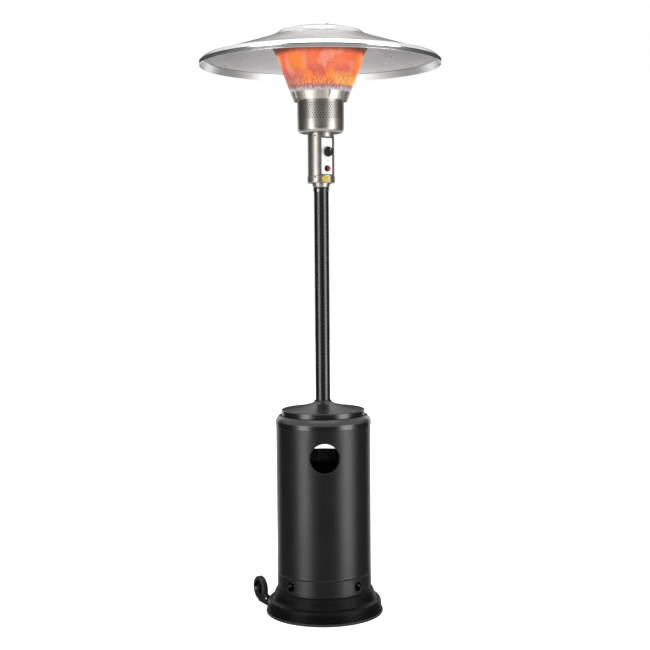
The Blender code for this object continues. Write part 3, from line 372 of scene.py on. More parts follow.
    def done(self, body, slot, *nodes):
        """Makes the object, names the body that it moves with and the CAD nodes that it stands for."""
        bmesh.ops.remove_doubles(self.mesh, verts=self.mesh.verts, dist=2e-6)
        data = bpy.data.meshes.new(self.name)
        self.mesh.to_mesh(data)
        self.mesh.free()
        for material in self.materials:
            data.materials.append(material)
        data.shade_smooth()
        data.set_sharp_from_angle(angle=math.radians(SHARP_EDGE))
        made = bpy.data.objects.new(self.name, data)
        bpy.context.scene.collection.objects.link(made)
        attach(made, body)
        if nodes:
            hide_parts(*nodes)
        return made


def turned(name, outline, material, steps, body, slot, *nodes):
    """A piece turned from one closed outline, in one material."""
    piece = Piece(name)
    piece.lathe(outline, material, steps)
    piece.done(body, slot, *nodes)


def turned_sheet(name, line, thickness, material, steps, body, slot, *nodes, bend=SMALL_BEND, segments=6):
    """A piece of sheet turned from its outer line, in one material."""
    outline = skin(rounded(line, bend, segments), thickness)
    turned(name, outline, material, steps, body, slot, *nodes)


# ---------------------------------------------------------------- materials
def fill_ramp(node, stops):
    """Gives a colour ramp its stops, each a place from 0 to 1 and a colour."""
    elements = node.color_ramp.elements
    while len(elements) < len(stops):
        elements.new(0.5)
    for element, (place, colour) in zip(elements, stops):
        element.position = place
        element.color = (*colour, 1.0)


class Finish:
    """A material's nodes: short calls for what the materials of this object share."""

    def __init__(self, name, colour, metallic=0.0, roughness=0.5, **sockets):
        self.material = bpy.data.materials.new(name)
        self.material.use_nodes = True
        self.tree = self.material.node_tree
        self.shader = self.tree.nodes["Principled BSDF"]
        self.shader.inputs["Base Color"].default_value = (*colour, 1.0)
        self.shader.inputs["Metallic"].default_value = metallic
        self.shader.inputs["Roughness"].default_value = roughness
        for socket, value in sockets.items():
            self.shader.inputs[socket.replace("_", " ")].default_value = value
        self.coordinates = self.node("ShaderNodeTexCoord").outputs["Object"]

    def node(self, kind, **values):
        made = self.tree.nodes.new(kind)
        for name, value in values.items():
            setattr(made, name, value)
        return made

    def link(self, source, target):
        self.tree.links.new(source, target)

    def stretched(self, x, y, z):
        """The coordinates stretched, so that one noise gives grain, brushing or streaks."""
        mapping = self.node("ShaderNodeMapping")
        self.link(self.coordinates, mapping.inputs["Vector"])
        mapping.inputs["Scale"].default_value = (x, y, z)
        return mapping.outputs["Vector"]

    def noise(self, scale, detail=2.0, roughness=0.5, vector=None):
        made = self.node("ShaderNodeTexNoise")
        self.link(vector or self.coordinates, made.inputs["Vector"])
        made.inputs["Scale"].default_value = scale
        made.inputs["Detail"].default_value = detail
        made.inputs["Roughness"].default_value = roughness
        return made.outputs["Fac"]

    def math(self, operation, a, b=None):
        made = self.node("ShaderNodeMath", operation=operation)
        for i, value in enumerate((a, b)):
            if value is None:
                continue
            if isinstance(value, (int, float)):
                made.inputs[i].default_value = value
            else:
                self.link(value, made.inputs[i])
        return made.outputs[0]

    def spread(self, value, to_low, to_high, from_low=0.3, from_high=0.7):
        made = self.node("ShaderNodeMapRange")
        self.link(value, made.inputs["Value"])
        for name, number in zip(("From Min", "From Max", "To Min", "To Max"),
                                (from_low, from_high, to_low, to_high)):
            made.inputs[name].default_value = number
        return made.outputs["Result"]

    def blend(self, one, two, share=0.5):
        """The weighted sum of two noises."""
        return self.math("ADD", self.math("MULTIPLY", one, 1 - share), self.math("MULTIPLY", two, share))

    def ramp(self, value, *stops):
        made = self.node("ShaderNodeValToRGB")
        self.link(value, made.inputs["Fac"])
        fill_ramp(made, stops)
        return made.outputs["Color"]

    def shares(self, value, *stops):
        """A ramp of plain shares, each given as (place, share)."""
        return self.ramp(value, *((place, (share, share, share)) for place, share in stops))

    def mix(self, share, a, b, blend="MIX"):
        made = self.node("ShaderNodeMix", data_type="RGBA", blend_type=blend)
        for value, socket in ((share, made.inputs[0]), (a, made.inputs[6]), (b, made.inputs[7])):
            if isinstance(value, tuple):
                socket.default_value = (*value, 1.0)
            elif isinstance(value, (int, float)):
                socket.default_value = value
            else:
                self.link(value, socket)
        return made.outputs[2]

    def separate(self):
        made = self.node("ShaderNodeSeparateXYZ")
        self.link(self.coordinates, made.inputs[0])
        return made.outputs

    def around_axis(self):
        """Distance from the vertical axis."""
        x, y, _ = self.separate()
        return self.math("SQRT", self.math("ADD", self.math("MULTIPLY", x, x), self.math("MULTIPLY", y, y)))

    def bump(self, height, strength, distance, after=None):
        made = self.node("ShaderNodeBump")
        made.inputs["Strength"].default_value = strength
        made.inputs["Distance"].default_value = distance
        self.link(height, made.inputs["Height"])
        if after:
            self.link(after, made.inputs["Normal"])
        self.link(made.outputs["Normal"], self.shader.inputs["Normal"])
        return made.outputs["Normal"]

    def to(self, socket, value):
        self.link(value, self.shader.inputs[socket])


def powder_coat(name, colour, rough=(0.33, 0.43), shine=0.55):
    """Satin powder coat: fine orange peel over faint broad waves in the sheet."""
    f = Finish(name, colour, 0.0, 0.4, Specular_IOR_Level=shine)
    grain = f.noise(1500.0, 2.0)
    peel = f.noise(330.0, 3.0, 0.6)
    cloud = f.noise(7.0, 4.0, 0.6)
    f.to("Roughness", f.spread(f.blend(peel, cloud), *rough))
    lighter = tuple(c * 1.6 + 0.001 for c in colour)
    f.to("Base Color", f.mix(f.spread(grain, 0.0, 1.0), colour, lighter))
    first = f.bump(peel, 0.22, 0.00025)
    f.bump(grain, 0.18, 0.00008, first)
    return f.material


def brushed_steel(name, colour=(0.47, 0.45, 0.425), grain=(260.0, 260.0, 2.2), rough=(0.27, 0.40)):
    """Stainless sheet with a brushed grain: along the wall by default, or round it."""
    f = Finish(name, colour, 1.0, 0.28, Anisotropic=0.35)
    streak = f.noise(3.2, 4.0, 0.65, f.stretched(*grain))
    broad = f.noise(9.0, 3.0, 0.5)
    f.to("Roughness", f.spread(f.blend(streak, broad, 0.3), *rough))
    darker = tuple(c * 0.80 for c in colour)
    f.to("Base Color", f.mix(f.spread(streak, 0.0, 1.0), darker, colour))
    first = f.bump(streak, 0.10, 0.00012)
    f.bump(f.noise(14.0, 2.0), 0.10, 0.0025, first)
    return f.material


def aluminium(name, colour, rough, ring_depth):
    """Spun aluminium sheet: fine rings round the axis, and slow waves left by the press."""
    f = Finish(name, colour, 1.0, 0.3)
    distance = f.around_axis()
    fine = f.node("ShaderNodeTexNoise", noise_dimensions="1D")
    f.link(f.math("MULTIPLY", distance, 900.0), fine.inputs["W"])
    fine.inputs["Scale"].default_value = 1.0
    fine.inputs["Detail"].default_value = 3.0
    rings = fine.outputs["Fac"]
    cloud = f.noise(6.0, 4.0, 0.6)
    f.to("Roughness", f.spread(f.blend(rings, cloud), *rough))
    darker = tuple(c * 0.86 for c in colour)
    f.to("Base Color", f.mix(f.spread(cloud, 0.0, 1.0), darker, colour))
    first = f.bump(rings, ring_depth, 0.00010)
    f.bump(f.noise(5.0, 2.0), 0.12, 0.004, first)
    return f.material


def cast_metal(name, colour, rough=(0.28, 0.45)):
    """Plated or machined metal: small pits and slight staining."""
    f = Finish(name, colour, 1.0, 0.35)
    pits = f.noise(420.0, 3.0)
    stain = f.noise(60.0, 4.0, 0.65)
    f.to("Roughness", f.spread(stain, *rough))
    f.to("Base Color", f.mix(f.spread(stain, 0.0, 1.0), tuple(c * 0.78 for c in colour), colour))
    f.bump(pits, 0.15, 0.0001)
    return f.material


def moulded(name, colour, rough=(0.38, 0.5), scale=1400.0, spread=1.25, strength=0.3, **sockets):
    """Moulded plastic or rubber with a spark-eroded texture."""
    f = Finish(name, colour, 0.0, 0.45, **sockets)
    grain = f.noise(scale, 2.0)
    cloud = f.noise(40.0, 3.0)
    f.to("Roughness", f.spread(cloud, *rough))
    lighter = tuple(min(1.0, c * spread) for c in colour)
    f.to("Base Color", f.mix(f.spread(cloud, 0.0, 1.0), colour, lighter))
    f.bump(grain, strength, 0.00012)
    return f.material


def stone(name, colour, scale):
    """Concrete or ceramic: specks and small pores."""
    f = Finish(name, colour, 0.0, 0.85)
    specks = f.noise(scale, 6.0, 0.7)
    f.to("Base Color", f.mix(f.spread(specks, 0.0, 1.0), tuple(c * 0.7 for c in colour), colour))
    f.to("Roughness", f.spread(specks, 0.75, 0.95))
    f.bump(specks, 0.5, 0.0008)
    return f.material


def glowing_screen(name, base_z, top_z):
    """The heated screen: a colour for each height, broken up by upright streaks and slow patches."""
    f = Finish(name, (0.10, 0.05, 0.04), 0.6, 0.55, Emission_Strength=1.0)
    x, _, z = f.separate()
    streak = f.noise(1.0, 3.0, 0.6, f.stretched(95.0, 95.0, 5.0))
    thread = f.noise(1.0, 2.0, 0.5, f.stretched(150.0, 150.0, 3.5))
    fine = f.noise(1.0, 2.0, 0.5, f.stretched(260.0, 260.0, 9.0))
    patch = f.noise(1.0, 1.0, 0.5, f.stretched(12.0, 12.0, 5.0))
    slow = f.noise(1.0, 1.0, 0.5, f.stretched(21.0, 21.0, 8.0))
    height = f.spread(z, 0.0, 1.0, base_z, top_z)
    teeth = f.math("MULTIPLY", f.spread(streak, -0.07, 0.07), f.spread(height, 1.0, 0.25, 0.05, 0.4))
    level = f.math("ADD", height, teeth)
    colour = f.ramp(level,
                    (0.00, (0.47, 0.45, 0.44)), (0.035, (0.60, 0.62, 0.68)), (0.075, (0.34, 0.32, 0.37)),
                    (0.105, (0.30, 0.12, 0.12)), (0.15, (0.88, 0.33, 0.14)), (0.20, (0.95, 0.34, 0.14)),
                    (0.30, (0.88, 0.17, 0.07)), (0.44, (0.76, 0.12, 0.09)), (0.60, (0.96, 0.18, 0.06)),
                    (0.77, (0.93, 0.15, 0.05)), (0.83, (0.50, 0.07, 0.03)), (0.875, (0.11, 0.028, 0.02)),
                    (1.00, (0.07, 0.025, 0.02)))
    body = f.shares(height, (0.0, 0), (0.13, 0), (0.22, 1), (0.76, 1), (0.84, 0))
    orange = f.spread(patch, 0.0, 0.95, 0.48, 0.60)
    salmon = f.spread(slow, 0.0, 0.8, 0.52, 0.64)
    colour = f.mix(f.math("MULTIPLY", orange, body), colour, (1.0, 0.25, 0.025))
    colour = f.mix(f.math("MULTIPLY", salmon, body), colour, (0.93, 0.36, 0.24))
    foot = f.shares(height, (0.10, 0), (0.15, 1), (0.26, 1), (0.42, 0))
    yellow = f.math("MULTIPLY", f.spread(x, 0.0, 0.85, 0.01, 0.075), foot)
    colour = f.mix(yellow, colour, (1.0, 0.50, 0.09))
    mauve = f.math("MULTIPLY", f.spread(x, 0.65, 0.0, -0.12, -0.04), foot)
    colour = f.mix(mauve, colour, (0.36, 0.13, 0.14))
    strong = f.shares(height, (0.0, 0.3), (0.12, 0.95), (0.30, 0.7), (0.55, 0.3), (0.75, 0.1), (1.0, 0.6))
    share = f.math("MULTIPLY", f.spread(thread, 1.0, 0.0, 0.36, 0.52), strong)
    colour = f.mix(share, colour, (0.72, 0.34, 0.42), "MULTIPLY")
    shade = f.spread(fine, 0.84, 1.0)
    colour = f.mix(1.0, colour, f.shares(shade, (0.0, 0), (1.0, 1)), "MULTIPLY")
    f.to("Emission Color", colour)
    f.bump(fine, 0.2, 0.0002)
    return f.material


def ember(name):
    """What glows behind the screen's holes: dark red, with slow brighter patches."""
    f = Finish(name, (0.03, 0.02, 0.02), 0.0, 0.8, Emission_Strength=1.0)
    glow = f.noise(30.0, 3.0)
    f.to("Emission Color", f.mix(f.spread(glow, 0.0, 1.0), (0.40, 0.07, 0.035), (0.66, 0.15, 0.06)))
    return f.material


def printed_panel(name):
    """White enamelled label plate, faintly uneven, with a painted glow: it gives off white light of its own,
    though it is no lamp.
    """
    # Painted glow: the plate lights itself, so it stays white whatever light falls on it.
    f = Finish(name, (0.86, 0.86, 0.85), 0.0, 0.35, Emission_Strength=0.30)
    f.shader.inputs["Emission Color"].default_value = (1.0, 1.0, 1.0, 1.0)
    cloud = f.noise(70.0, 3.0)
    f.to("Base Color", f.mix(f.spread(cloud, 0.0, 1.0), (0.82, 0.82, 0.80), (0.90, 0.90, 0.89)))
    f.to("Roughness", f.spread(cloud, 0.28, 0.42))
    f.bump(f.noise(900.0, 2.0), 0.06, 0.0001)
    return f.material


def plain_label(name, colour):
    """Vinyl label with a faint grain."""
    f = Finish(name, colour, 0.0, 0.45)
    cloud = f.noise(120.0, 3.0)
    f.to("Base Color", f.mix(f.spread(cloud, 0.0, 1.0), tuple(c * 0.9 for c in colour), colour))
    f.to("Roughness", f.spread(cloud, 0.4, 0.55))
    return f.material


BLACK = powder_coat("black_powder_coat", (0.0036, 0.0036, 0.0039))
BLACK_GLOSS = powder_coat("black_gloss_coat", (0.0034, 0.0034, 0.0037), (0.23, 0.31), 0.85)
# The base's coat is a darker, duller copy of the same powder coat: painted shade.
BLACK_BASE_SHADED = powder_coat("black_coat_painted_shade", (0.0024, 0.0024, 0.0027), (0.36, 0.46), 0.08)
STEEL = brushed_steel("brushed_stainless")
STEEL_ROUND = brushed_steel("stainless_brushed_round", grain=(3.0, 3.0, 420.0))
# A dark sheet for behind the cup's holes: painted shade, standing where the inside of the cup is only in shade.
PAINTED_SHADE_LINER = moulded("painted_shade_liner", (0.012, 0.011, 0.010), (0.6, 0.8), Specular_IOR_Level=0.2)
EMITTER_BAND = brushed_steel("heated_stainless_band", (0.62, 0.575, 0.52), (3.0, 3.0, 420.0), (0.34, 0.46))
# Dark steel: the real colour of the shell screws, and painted shade on the control housing's flat face.
DARK_STEEL_AND_SHADE = cast_metal("dark_steel_and_painted_shade", (0.115, 0.108, 0.102), (0.32, 0.45))
BRIGHT = cast_metal("bright_stainless", (0.66, 0.65, 0.63), (0.16, 0.30))
ALUMINIUM = aluminium("aluminium_upper_face", (0.84, 0.84, 0.85), (0.13, 0.24), 0.12)
# The under faces are a darker copy of the same aluminium: painted shade.
ALUMINIUM_UNDER_SHADED = aluminium("aluminium_under_face_painted_shade", (0.76, 0.76, 0.77), (0.36, 0.50), 0.15)
# The hem is a brighter copy of the same aluminium: a painted highlight along the rim.
HEM_PAINTED_HIGHLIGHT = aluminium("aluminium_hem_painted_highlight", (0.90, 0.90, 0.90), (0.30, 0.42), 0.10)
ZINC = cast_metal("zinc_plate", (0.50, 0.51, 0.53))
BRASS = cast_metal("brass", (0.78, 0.55, 0.24))
PLASTIC = moulded("black_plastic", (0.005, 0.005, 0.0055), Specular_IOR_Level=0.28)
RED = moulded("red_plastic", (0.42, 0.012, 0.016), (0.22, 0.34), 900.0, 1.15, 0.1)
RUBBER = moulded("black_rubber", (0.013, 0.013, 0.013), (0.55, 0.72), 700.0, 1.5, 0.4)
WHITE_PAINTED_GLOW = printed_panel("white_plate_painted_glow")
INK = moulded("dark_print", (0.02, 0.02, 0.022), (0.4, 0.5), 900.0, 1.2, 0.05)
YELLOW = plain_label("yellow_label", (0.72, 0.52, 0.06))
CONCRETE = stone("concrete", (0.42, 0.41, 0.39), 90.0)
CERAMIC = stone("ceramic", (0.78, 0.76, 0.72), 300.0)
GLOW = glowing_screen("glowing_screen", low("emitter_screen").z + BAND_HEIGHT, high("emitter_screen").z)
EMBER = ember("ember_red")


# ---------------------------------------------------------------- base
def make_base():
    """Pressed base cover with its shoulder, ledge and raised crown, and the rubber edging under it."""
    foot_z, crown_z = high("base_foot_ring").z, high("base_shell").z
    wall, bottom = radius_of("base_shell"), low("base_shell").z
    line = [
        (wall, bottom), (wall, 0.0400, 0.012), (wall - 0.0060, 0.0520, 0.006), (0.2040, 0.0562, 0.004),
        (0.1995, 0.0650, 0.004), (0.1955, 0.0785, 0.010), (0.1880, crown_z, 0.004), (0.1800, crown_z, 0.002),
        (0.1785, 0.0835, 0.002), (0.1690, 0.0830),
    ]
    turned_sheet("base_cover", line, SHEET, BLACK_BASE_SHADED, 168, "stand", "black_paint", "base_shell")

    outer = radius_of("base_foot_ring")
    edge = [
        (wall - 0.0050, 0.0), (outer - 0.0012, 0.0), (outer, 0.0014), (outer, 0.0036),
        (outer - 0.0006, 0.0042), (outer - 0.0006, 0.0048), (outer, 0.0054), (outer, foot_z - 0.0022),
        (outer - 0.0020, foot_z),
        (wall + 0.0004, foot_z), (wall + 0.0004, 0.0028), (wall - 0.0050, 0.0028),
    ]
    turned("base_edging", loop(edge, 0.0006, 2), RUBBER, 168, "stand", "rubber", "base_foot_ring")


# ---------------------------------------------------------------- housing
def make_housing():
    """Cylinder housing that lifts off: vented skirt, tube with hand holes, shoulder ring, lid and bush."""
    outer = radius_of("housing_tube")
    tube_low, tube_high = span("housing_tube")
    skirt_low, skirt_high = span("housing_skirt")
    hole_z = tube_high - 0.1165

    def tube_wall(z):
        """The tube's outer radius: a low bead near each end, and an edge that is drawn in."""
        near_end = min(z - tube_low, tube_high - z)
        bead = 0.00054 * math.exp(-((near_end - 0.0045) / 0.0022) ** 2)
        return outer - 0.0006 - 0.0004 * math.exp(-near_end / 0.0010) + bead

    fine = [0.0, 0.0008, 0.0018, 0.0030, 0.0045, 0.0060, 0.0075, 0.0095, 0.0130, 0.0300]
    lines = [tube_low + f for f in fine] + [tube_low + 0.1 * k for k in (1, 2, 3)]
    lines += [tube_high - 0.19] + [tube_high - f for f in reversed(fine)]
    holes = [(a, hole_z) for a in HAND_HOLE_AZIMUTHS]
    piece = Piece("housing_cylinder")
    piece.windowed(tube_wall, lines, holes, 1.22 * HAND_HOLE_RADIUS, HAND_HOLE_RADIUS, SHEET, BLACK, 48, 14)
    piece.done("housing", "black_paint", "housing_tube")

    def skirt_wall(z):
        """The skirt's outer radius: it laps inside the tube above, and draws in at its foot."""
        lap = max(0.0, min(1.0, (z - (tube_low - 0.0022)) / 0.0018))
        foot = math.exp(-(z - skirt_low) / 0.0010)
        return outer - 0.0004 - 0.0022 * lap - 0.0005 * foot

    vent_z = (skirt_low + 0.1600) / 2
    steps = [0.0, 0.0008, 0.0020, 0.0040]
    lines = [skirt_low + s for s in steps]
    lines += [tube_low - 0.0030, tube_low - 0.0022, tube_low - 0.0016, tube_low - 0.0010, tube_low - 0.0004]
    lines += [tube_low + 0.0010, skirt_high]
    piece = Piece("vented_skirt")
    holes = [(a, vent_z) for a in VENT_AZIMUTHS]
    piece.windowed(skirt_wall, lines, holes, 1.35 * VENT_RADIUS, VENT_RADIUS, SHEET, BLACK, 34, 8)
    piece.done("housing", "black_paint", "housing_skirt")

    ring_low, ring_high = span("housing_top_ring")
    ring = radius_of("housing_top_ring")
    line = [
        (ring, ring_low), (ring, ring_low + 0.0165, 0.010), (ring - 0.0060, ring_high - 0.0115, 0.008),
        (ring - 0.0150, ring_high - 0.0010, 0.004), (LID_SEAT - 0.0030, ring_high - 0.0006, 0.002),
        (LID_SEAT - 0.0085, ring_high - 0.0006),
    ]
    turned_sheet("shoulder_ring", line, SHEET, BLACK_GLOSS, 144, "housing", "black_paint", "housing_top_ring")

    lid_low, lid_high = span("housing_lid")
    lid = radius_of("housing_lid")
    rim = lid_low + 0.0210
    line = [
        (lid, lid_low), (lid, rim - 0.0004, 0.0042), (lid - 0.0120, rim, 0.004),
        (lid - 0.0150, rim + 0.0008, 0.004), (0.0900, rim + 0.0105, 0.05), (0.0480, rim + 0.0205, 0.02),
        (0.0345, lid_high - 0.0022, 0.004), (0.0337, lid_high - 0.0002),
    ]
    turned_sheet("lid_cover", line, SHEET, BLACK_GLOSS, 144, "housing", "black_paint", "housing_lid")

    bush_low, bush_high = span("lid_bush")
    bush = radius_of("lid_bush")
    line = [(0.0293, bush_low), (bush - 0.0003, bush_low), (bush, bush_high - 0.0008),
            (bush - 0.0008, bush_high), (0.0300, bush_high), (0.0293, bush_high - 0.0008)]
    turned("lid_grommet", loop(line, 0.0005, 2), RUBBER, 64, "housing", "rubber", "lid_bush")


# ---------------------------------------------------------------- post
def make_post():
    """Steel post with its belled top, the stainless cone above it and the bolts that hold the two."""
    bottom, top = span("post")
    bell = radius_of("post")
    stem = bell - 0.0020
    line = [(stem, bottom), (stem, top - 0.0160, 0.006), (bell - 0.0002, top - 0.0100, 0.006),
            (bell - 0.0002, top - 0.0012, 0.001), (bell - 0.0012, top - 0.0002)]
    turned_sheet("post_tube", line, 0.0015, BLACK_GLOSS, 96, "stand", "black_paint", "post")

    low_z, high_z = span("head_neck")
    wide = radius_of("head_neck")
    cone = top + 0.0004
    bore, spigot = 0.0235, 0.0262
    line = [(bore, low_z), (spigot, low_z), (spigot, cone), (0.0302, cone, 0.0006),
            (0.0312, cone + 0.0015, 0.0012), (wide - 0.0009, high_z - 0.0030, 0.002),
            (wide - 0.0002, high_z), (bore, high_z)]
    ring = rounded([(bore, low_z + 0.001)] + line, 0.0003, 3)
    turned("neck_cone", ring, STEEL_ROUND, 96, "stand", "stainless", "head_neck")

    bolt_z = top - 0.0110
    piece = Piece("head_screws")
    for azimuth in HEAD_BOLT_AZIMUTHS:
        place, outward = around(bell - 0.0001, azimuth, bolt_z), around(1, azimuth)
        piece.head(place, outward, 0.0046, 0.0028, BRIGHT, "cross", 0.0056)
    piece.done("stand", "stainless", "head_bolt_1", "head_bolt_2", "head_bolt_3", "head_bolt_4")


# ---------------------------------------------------------------- control head
def flat_section(radius, flat, z, lines, steps=96):
    """A ring of points: round, but cut flat towards the control azimuth where flat is given."""
    facing_angle = math.radians(CONTROL_AZIMUTH)
    corner = math.acos(min(1.0, lines / radius))
    points = []
    inside = 16
    for k in range(inside):
        points.append(facing_angle - corner + 2 * corner * k / inside)
    outside = steps - inside
    for k in range(outside):
        points.append(facing_angle + corner + (TURN - 2 * corner) * k / outside)
    ring = []
    for angle in points:
        swing = (angle - facing_angle + math.pi) % TURN - math.pi
        reach = radius
        if flat and abs(swing) <= corner + 1e-9:
            reach = min(radius, flat / math.cos(swing))
        ring.append((reach * math.sin(angle), -reach * math.cos(angle), z))
    return ring


def make_collar():
    """The collar ring under the control housing, its two screws and its sticker."""
    collar = radius_of("lower_collar")
    collar_low, collar_high = span("lower_collar")
    line = [(0.0365, collar_low + 0.0006), (collar - 0.0030, collar_low, 0.002),
            (collar, collar_low + 0.0030, 0.002), (collar, collar_high - 0.0012, 0.0008),
            (collar - 0.0010, collar_high), (collar - 0.0024, collar_high)]
    piece = Piece("collar_band")
    piece.lathe(skin(rounded(line, 0.0015, 5), FINE_SHEET), STEEL_ROUND, 96)
    shell_screws(piece, collar, collar_high - 0.0050)
    piece.done("stand", "stainless", "lower_collar")

    piece = Piece("collar_label")
    near, far = collar + 0.00002, collar + 0.00024
    low_z, high_z = collar_low + 0.0036, collar_high - 0.0026
    rings = []
    for k in range(13):
        azimuth = 19.0 + 15.0 * (2 * k / 12 - 1)
        rings.append([around(near, azimuth, low_z), around(far, azimuth, low_z),
                      around(far, azimuth, high_z), around(near, azimuth, high_z)])
    piece.loft(rings, YELLOW)
    piece.done("stand", "white_panel")


def shell_screws(piece, radius, z):
    """The two dark screws of the collar or of the control housing."""
    for azimuth in SHELL_SCREW_AZIMUTHS:
        piece.head(around(radius - 0.0002, azimuth, z), around(1, azimuth), 0.0034, 0.0016, DARK_STEEL_AND_SHADE)


def make_control_head():
    """Collar and round control housing with its flat face and seam, and what is fitted to the face."""
    make_collar()
    shell = 0.0510
    bottom, top = span("control_housing")
    flat = shell - 0.0156
    ahead = around(1, CONTROL_AZIMUTH)
    flat_low, flat_high = bottom + 0.0020, top - 0.0150
    heights = [
        (bottom, 0), (flat_low - 0.0006, 0), (flat_low - 0.0002, 0), (flat_low, 1), (flat_low + 0.0006, 1),
        (flat_high - 0.0010, 1), (flat_high, 1), (flat_high + 0.0006, 0), (flat_high + 0.0016, 0),
        (top - 0.0008, 0), (top, 0),
    ]
    outside = [flat_section(shell, flat if is_flat else 0, z, flat) for z, is_flat in heights]
    hollow, hollow_flat = shell - FINE_SHEET, flat - FINE_SHEET
    inside = [flat_section(hollow, hollow_flat if is_flat else 0, z, hollow_flat) for z, is_flat in heights]
    piece = Piece("control_shell")
    rings = outside + list(reversed(inside)) + [outside[0]]
    piece.loft(rings, STEEL, ends=False)
    # Faces of the flat get the dark steel: painted shade, standing for the dark reflection that the flat face
    # shows.
    for face in piece.mesh.faces:
        spot = face.calc_center_median()
        face.normal_update()
        on_flat = spot.dot(ahead) < flat + 0.0002 and flat_low < spot.z < flat_high
        if on_flat and face.normal.dot(ahead) > 0.99:
            face.material_index = piece.index(DARK_STEEL_AND_SHADE)
    shell_screws(piece, shell, top - 0.0105)
    seam = CONTROL_AZIMUTH - 51.0
    near, far = shell - 0.0004, shell + 0.0003
    seam_corners = ((near, seam), (far, seam), (far, seam + 2.6), (near, seam + 2.6))
    rings = [[around(r, azimuth, z) for r, azimuth in seam_corners] for z in (flat_low - 0.001, top - 0.001)]
    piece.loft(rings, STEEL)
    piece.done("stand", "stainless", "control_housing")

    knob_z, button_z = top - 0.0710, top - 0.1345
    make_control_plate(ahead, flat, knob_z, button_z)
    make_knob(ahead, knob_z, flat)
    make_button(ahead, button_z, flat)


def make_control_plate(ahead, flat, knob_z, button_z):
    """White plate on the flat face, with generic marks round the knob and under the button."""
    plate_low, plate_high = span("control_panel")
    middle = (plate_low + plate_high) / 2
    half_w, half_h = 0.0250, (plate_high - plate_low) / 2
    front = flat + 0.0003
    corners = [(-half_w, -half_h), (half_w, -half_h), (half_w, half_h), (-half_w, half_h)]
    piece = Piece("control_plate")
    place = facing(ahead * front + Vector((0, 0, middle)), ahead)
    piece.slab(loop(corners, 0.0030, 5), 0.0008, WHITE_PAINTED_GLOW, place, 0.0002)
    face = front + 0.0008

    def on_plate(z):
        return facing(ahead * face + Vector((0, 0, z)), ahead)

    ink, mark_circle, half_tick = 0.00012, 0.0228, 0.00045
    for angle in range(-60, 241, 20):
        half = (0.0028 if angle % 60 else 0.0042) / 2
        turn = math.radians(angle)
        tick = [(-half, -half_tick), (half, -half_tick), (half, half_tick), (-half, half_tick)]
        shift = Matrix.Translation((math.cos(turn) * mark_circle, math.sin(turn) * mark_circle, 0))
        piece.slab(tick, ink, INK, on_plate(knob_z) @ shift @ Matrix.Rotation(turn, 4, "Z"))
    sweep_top = [(-0.0110 + 0.022 * k / 10, 0.0026 * math.cos(math.pi * k / 10) + 0.0011) for k in range(11)]
    sweep_low = [(x, y - 0.0006 - 0.0014 * k / 10) for k, (x, y) in enumerate(sweep_top)]
    piece.slab(sweep_low + list(reversed(sweep_top)), ink, INK, on_plate(knob_z - 0.0325))
    dot = [(0.0013 * math.cos(TURN * k / 16), 0.0013 * math.sin(TURN * k / 16)) for k in range(16)]
    for side in (-1, 1):
        piece.slab(dot, ink, INK, on_plate(button_z - 0.0165) @ Matrix.Translation((side * 0.006, 0, 0)))
    piece.done("stand", "white_panel", "control_panel")


def make_knob(ahead, knob_z, flat):
    """Fluted knob with a raised grip across its face and a pointer line."""
    back = flat + 0.0071
    place = facing(ahead * back + Vector((0, 0, knob_z)), ahead)
    steps, wide, deep = 120, 0.0195, 0.0160

    def ring(size, z, flute):
        points = []
        for k in range(steps):
            angle = TURN * k / steps
            wave = 0.5 - 0.5 * math.cos(24 * angle)
            r = size - flute * wave ** 2
            points.append((r * math.cos(angle), r * math.sin(angle), z))
        return points

    rings = [ring(0.0060, 0.0004, 0), ring(wide - 0.0009, 0.0, 0), ring(wide, 0.0009, 0.0)]
    rings.append(ring(wide, 0.0022, 0.0))
    rings += [ring(wide - 0.0004, 0.0028, 0.0009), ring(wide - 0.0012, deep * 0.62, 0.0009)]
    rings += [ring(wide - 0.0019, deep * 0.70, 0.0006), ring(wide - 0.0032, deep * 0.735, 0.0)]
    rings += [ring(wide - 0.0052, deep * 0.72, 0.0), ring(0.0050, deep * 0.70, 0.0)]
    piece = Piece("knob_cap")
    piece.loft(rings, PLASTIC, place)
    half, thick = wide - 0.0030, 0.0038
    grip = []
    for z, shrink in ((deep * 0.66, 0.0), (deep * 0.94, 0.0003), (deep * 0.985, 0.0008), (deep, 0.0017)):
        grip.append([(x * (half - shrink), y * (thick - shrink), z) for x, y in superellipse(40, 5.0)])
    piece.loft(grip, PLASTIC, place @ Matrix.Rotation(math.radians(90), 4, "Z"))
    line = [(-0.0005, 0.0035), (0.0005, 0.0035), (0.0005, half - 0.0022), (-0.0005, half - 0.0022)]
    # The pointer line takes the same white, with its painted glow.
    piece.slab(line, 0.00015, WHITE_PAINTED_GLOW, place @ Matrix.Translation((0, 0, deep - 0.00012)))
    piece.done("knob", "black_plastic", "control_knob")


def superellipse(steps, power):
    """A rounded square of unit size."""
    points = []
    for k in range(steps):
        c, s = math.cos(TURN * k / steps), math.sin(TURN * k / steps)
        points.append((math.copysign(abs(c) ** (2 / power), c), math.copysign(abs(s) ** (2 / power), s)))
    return points


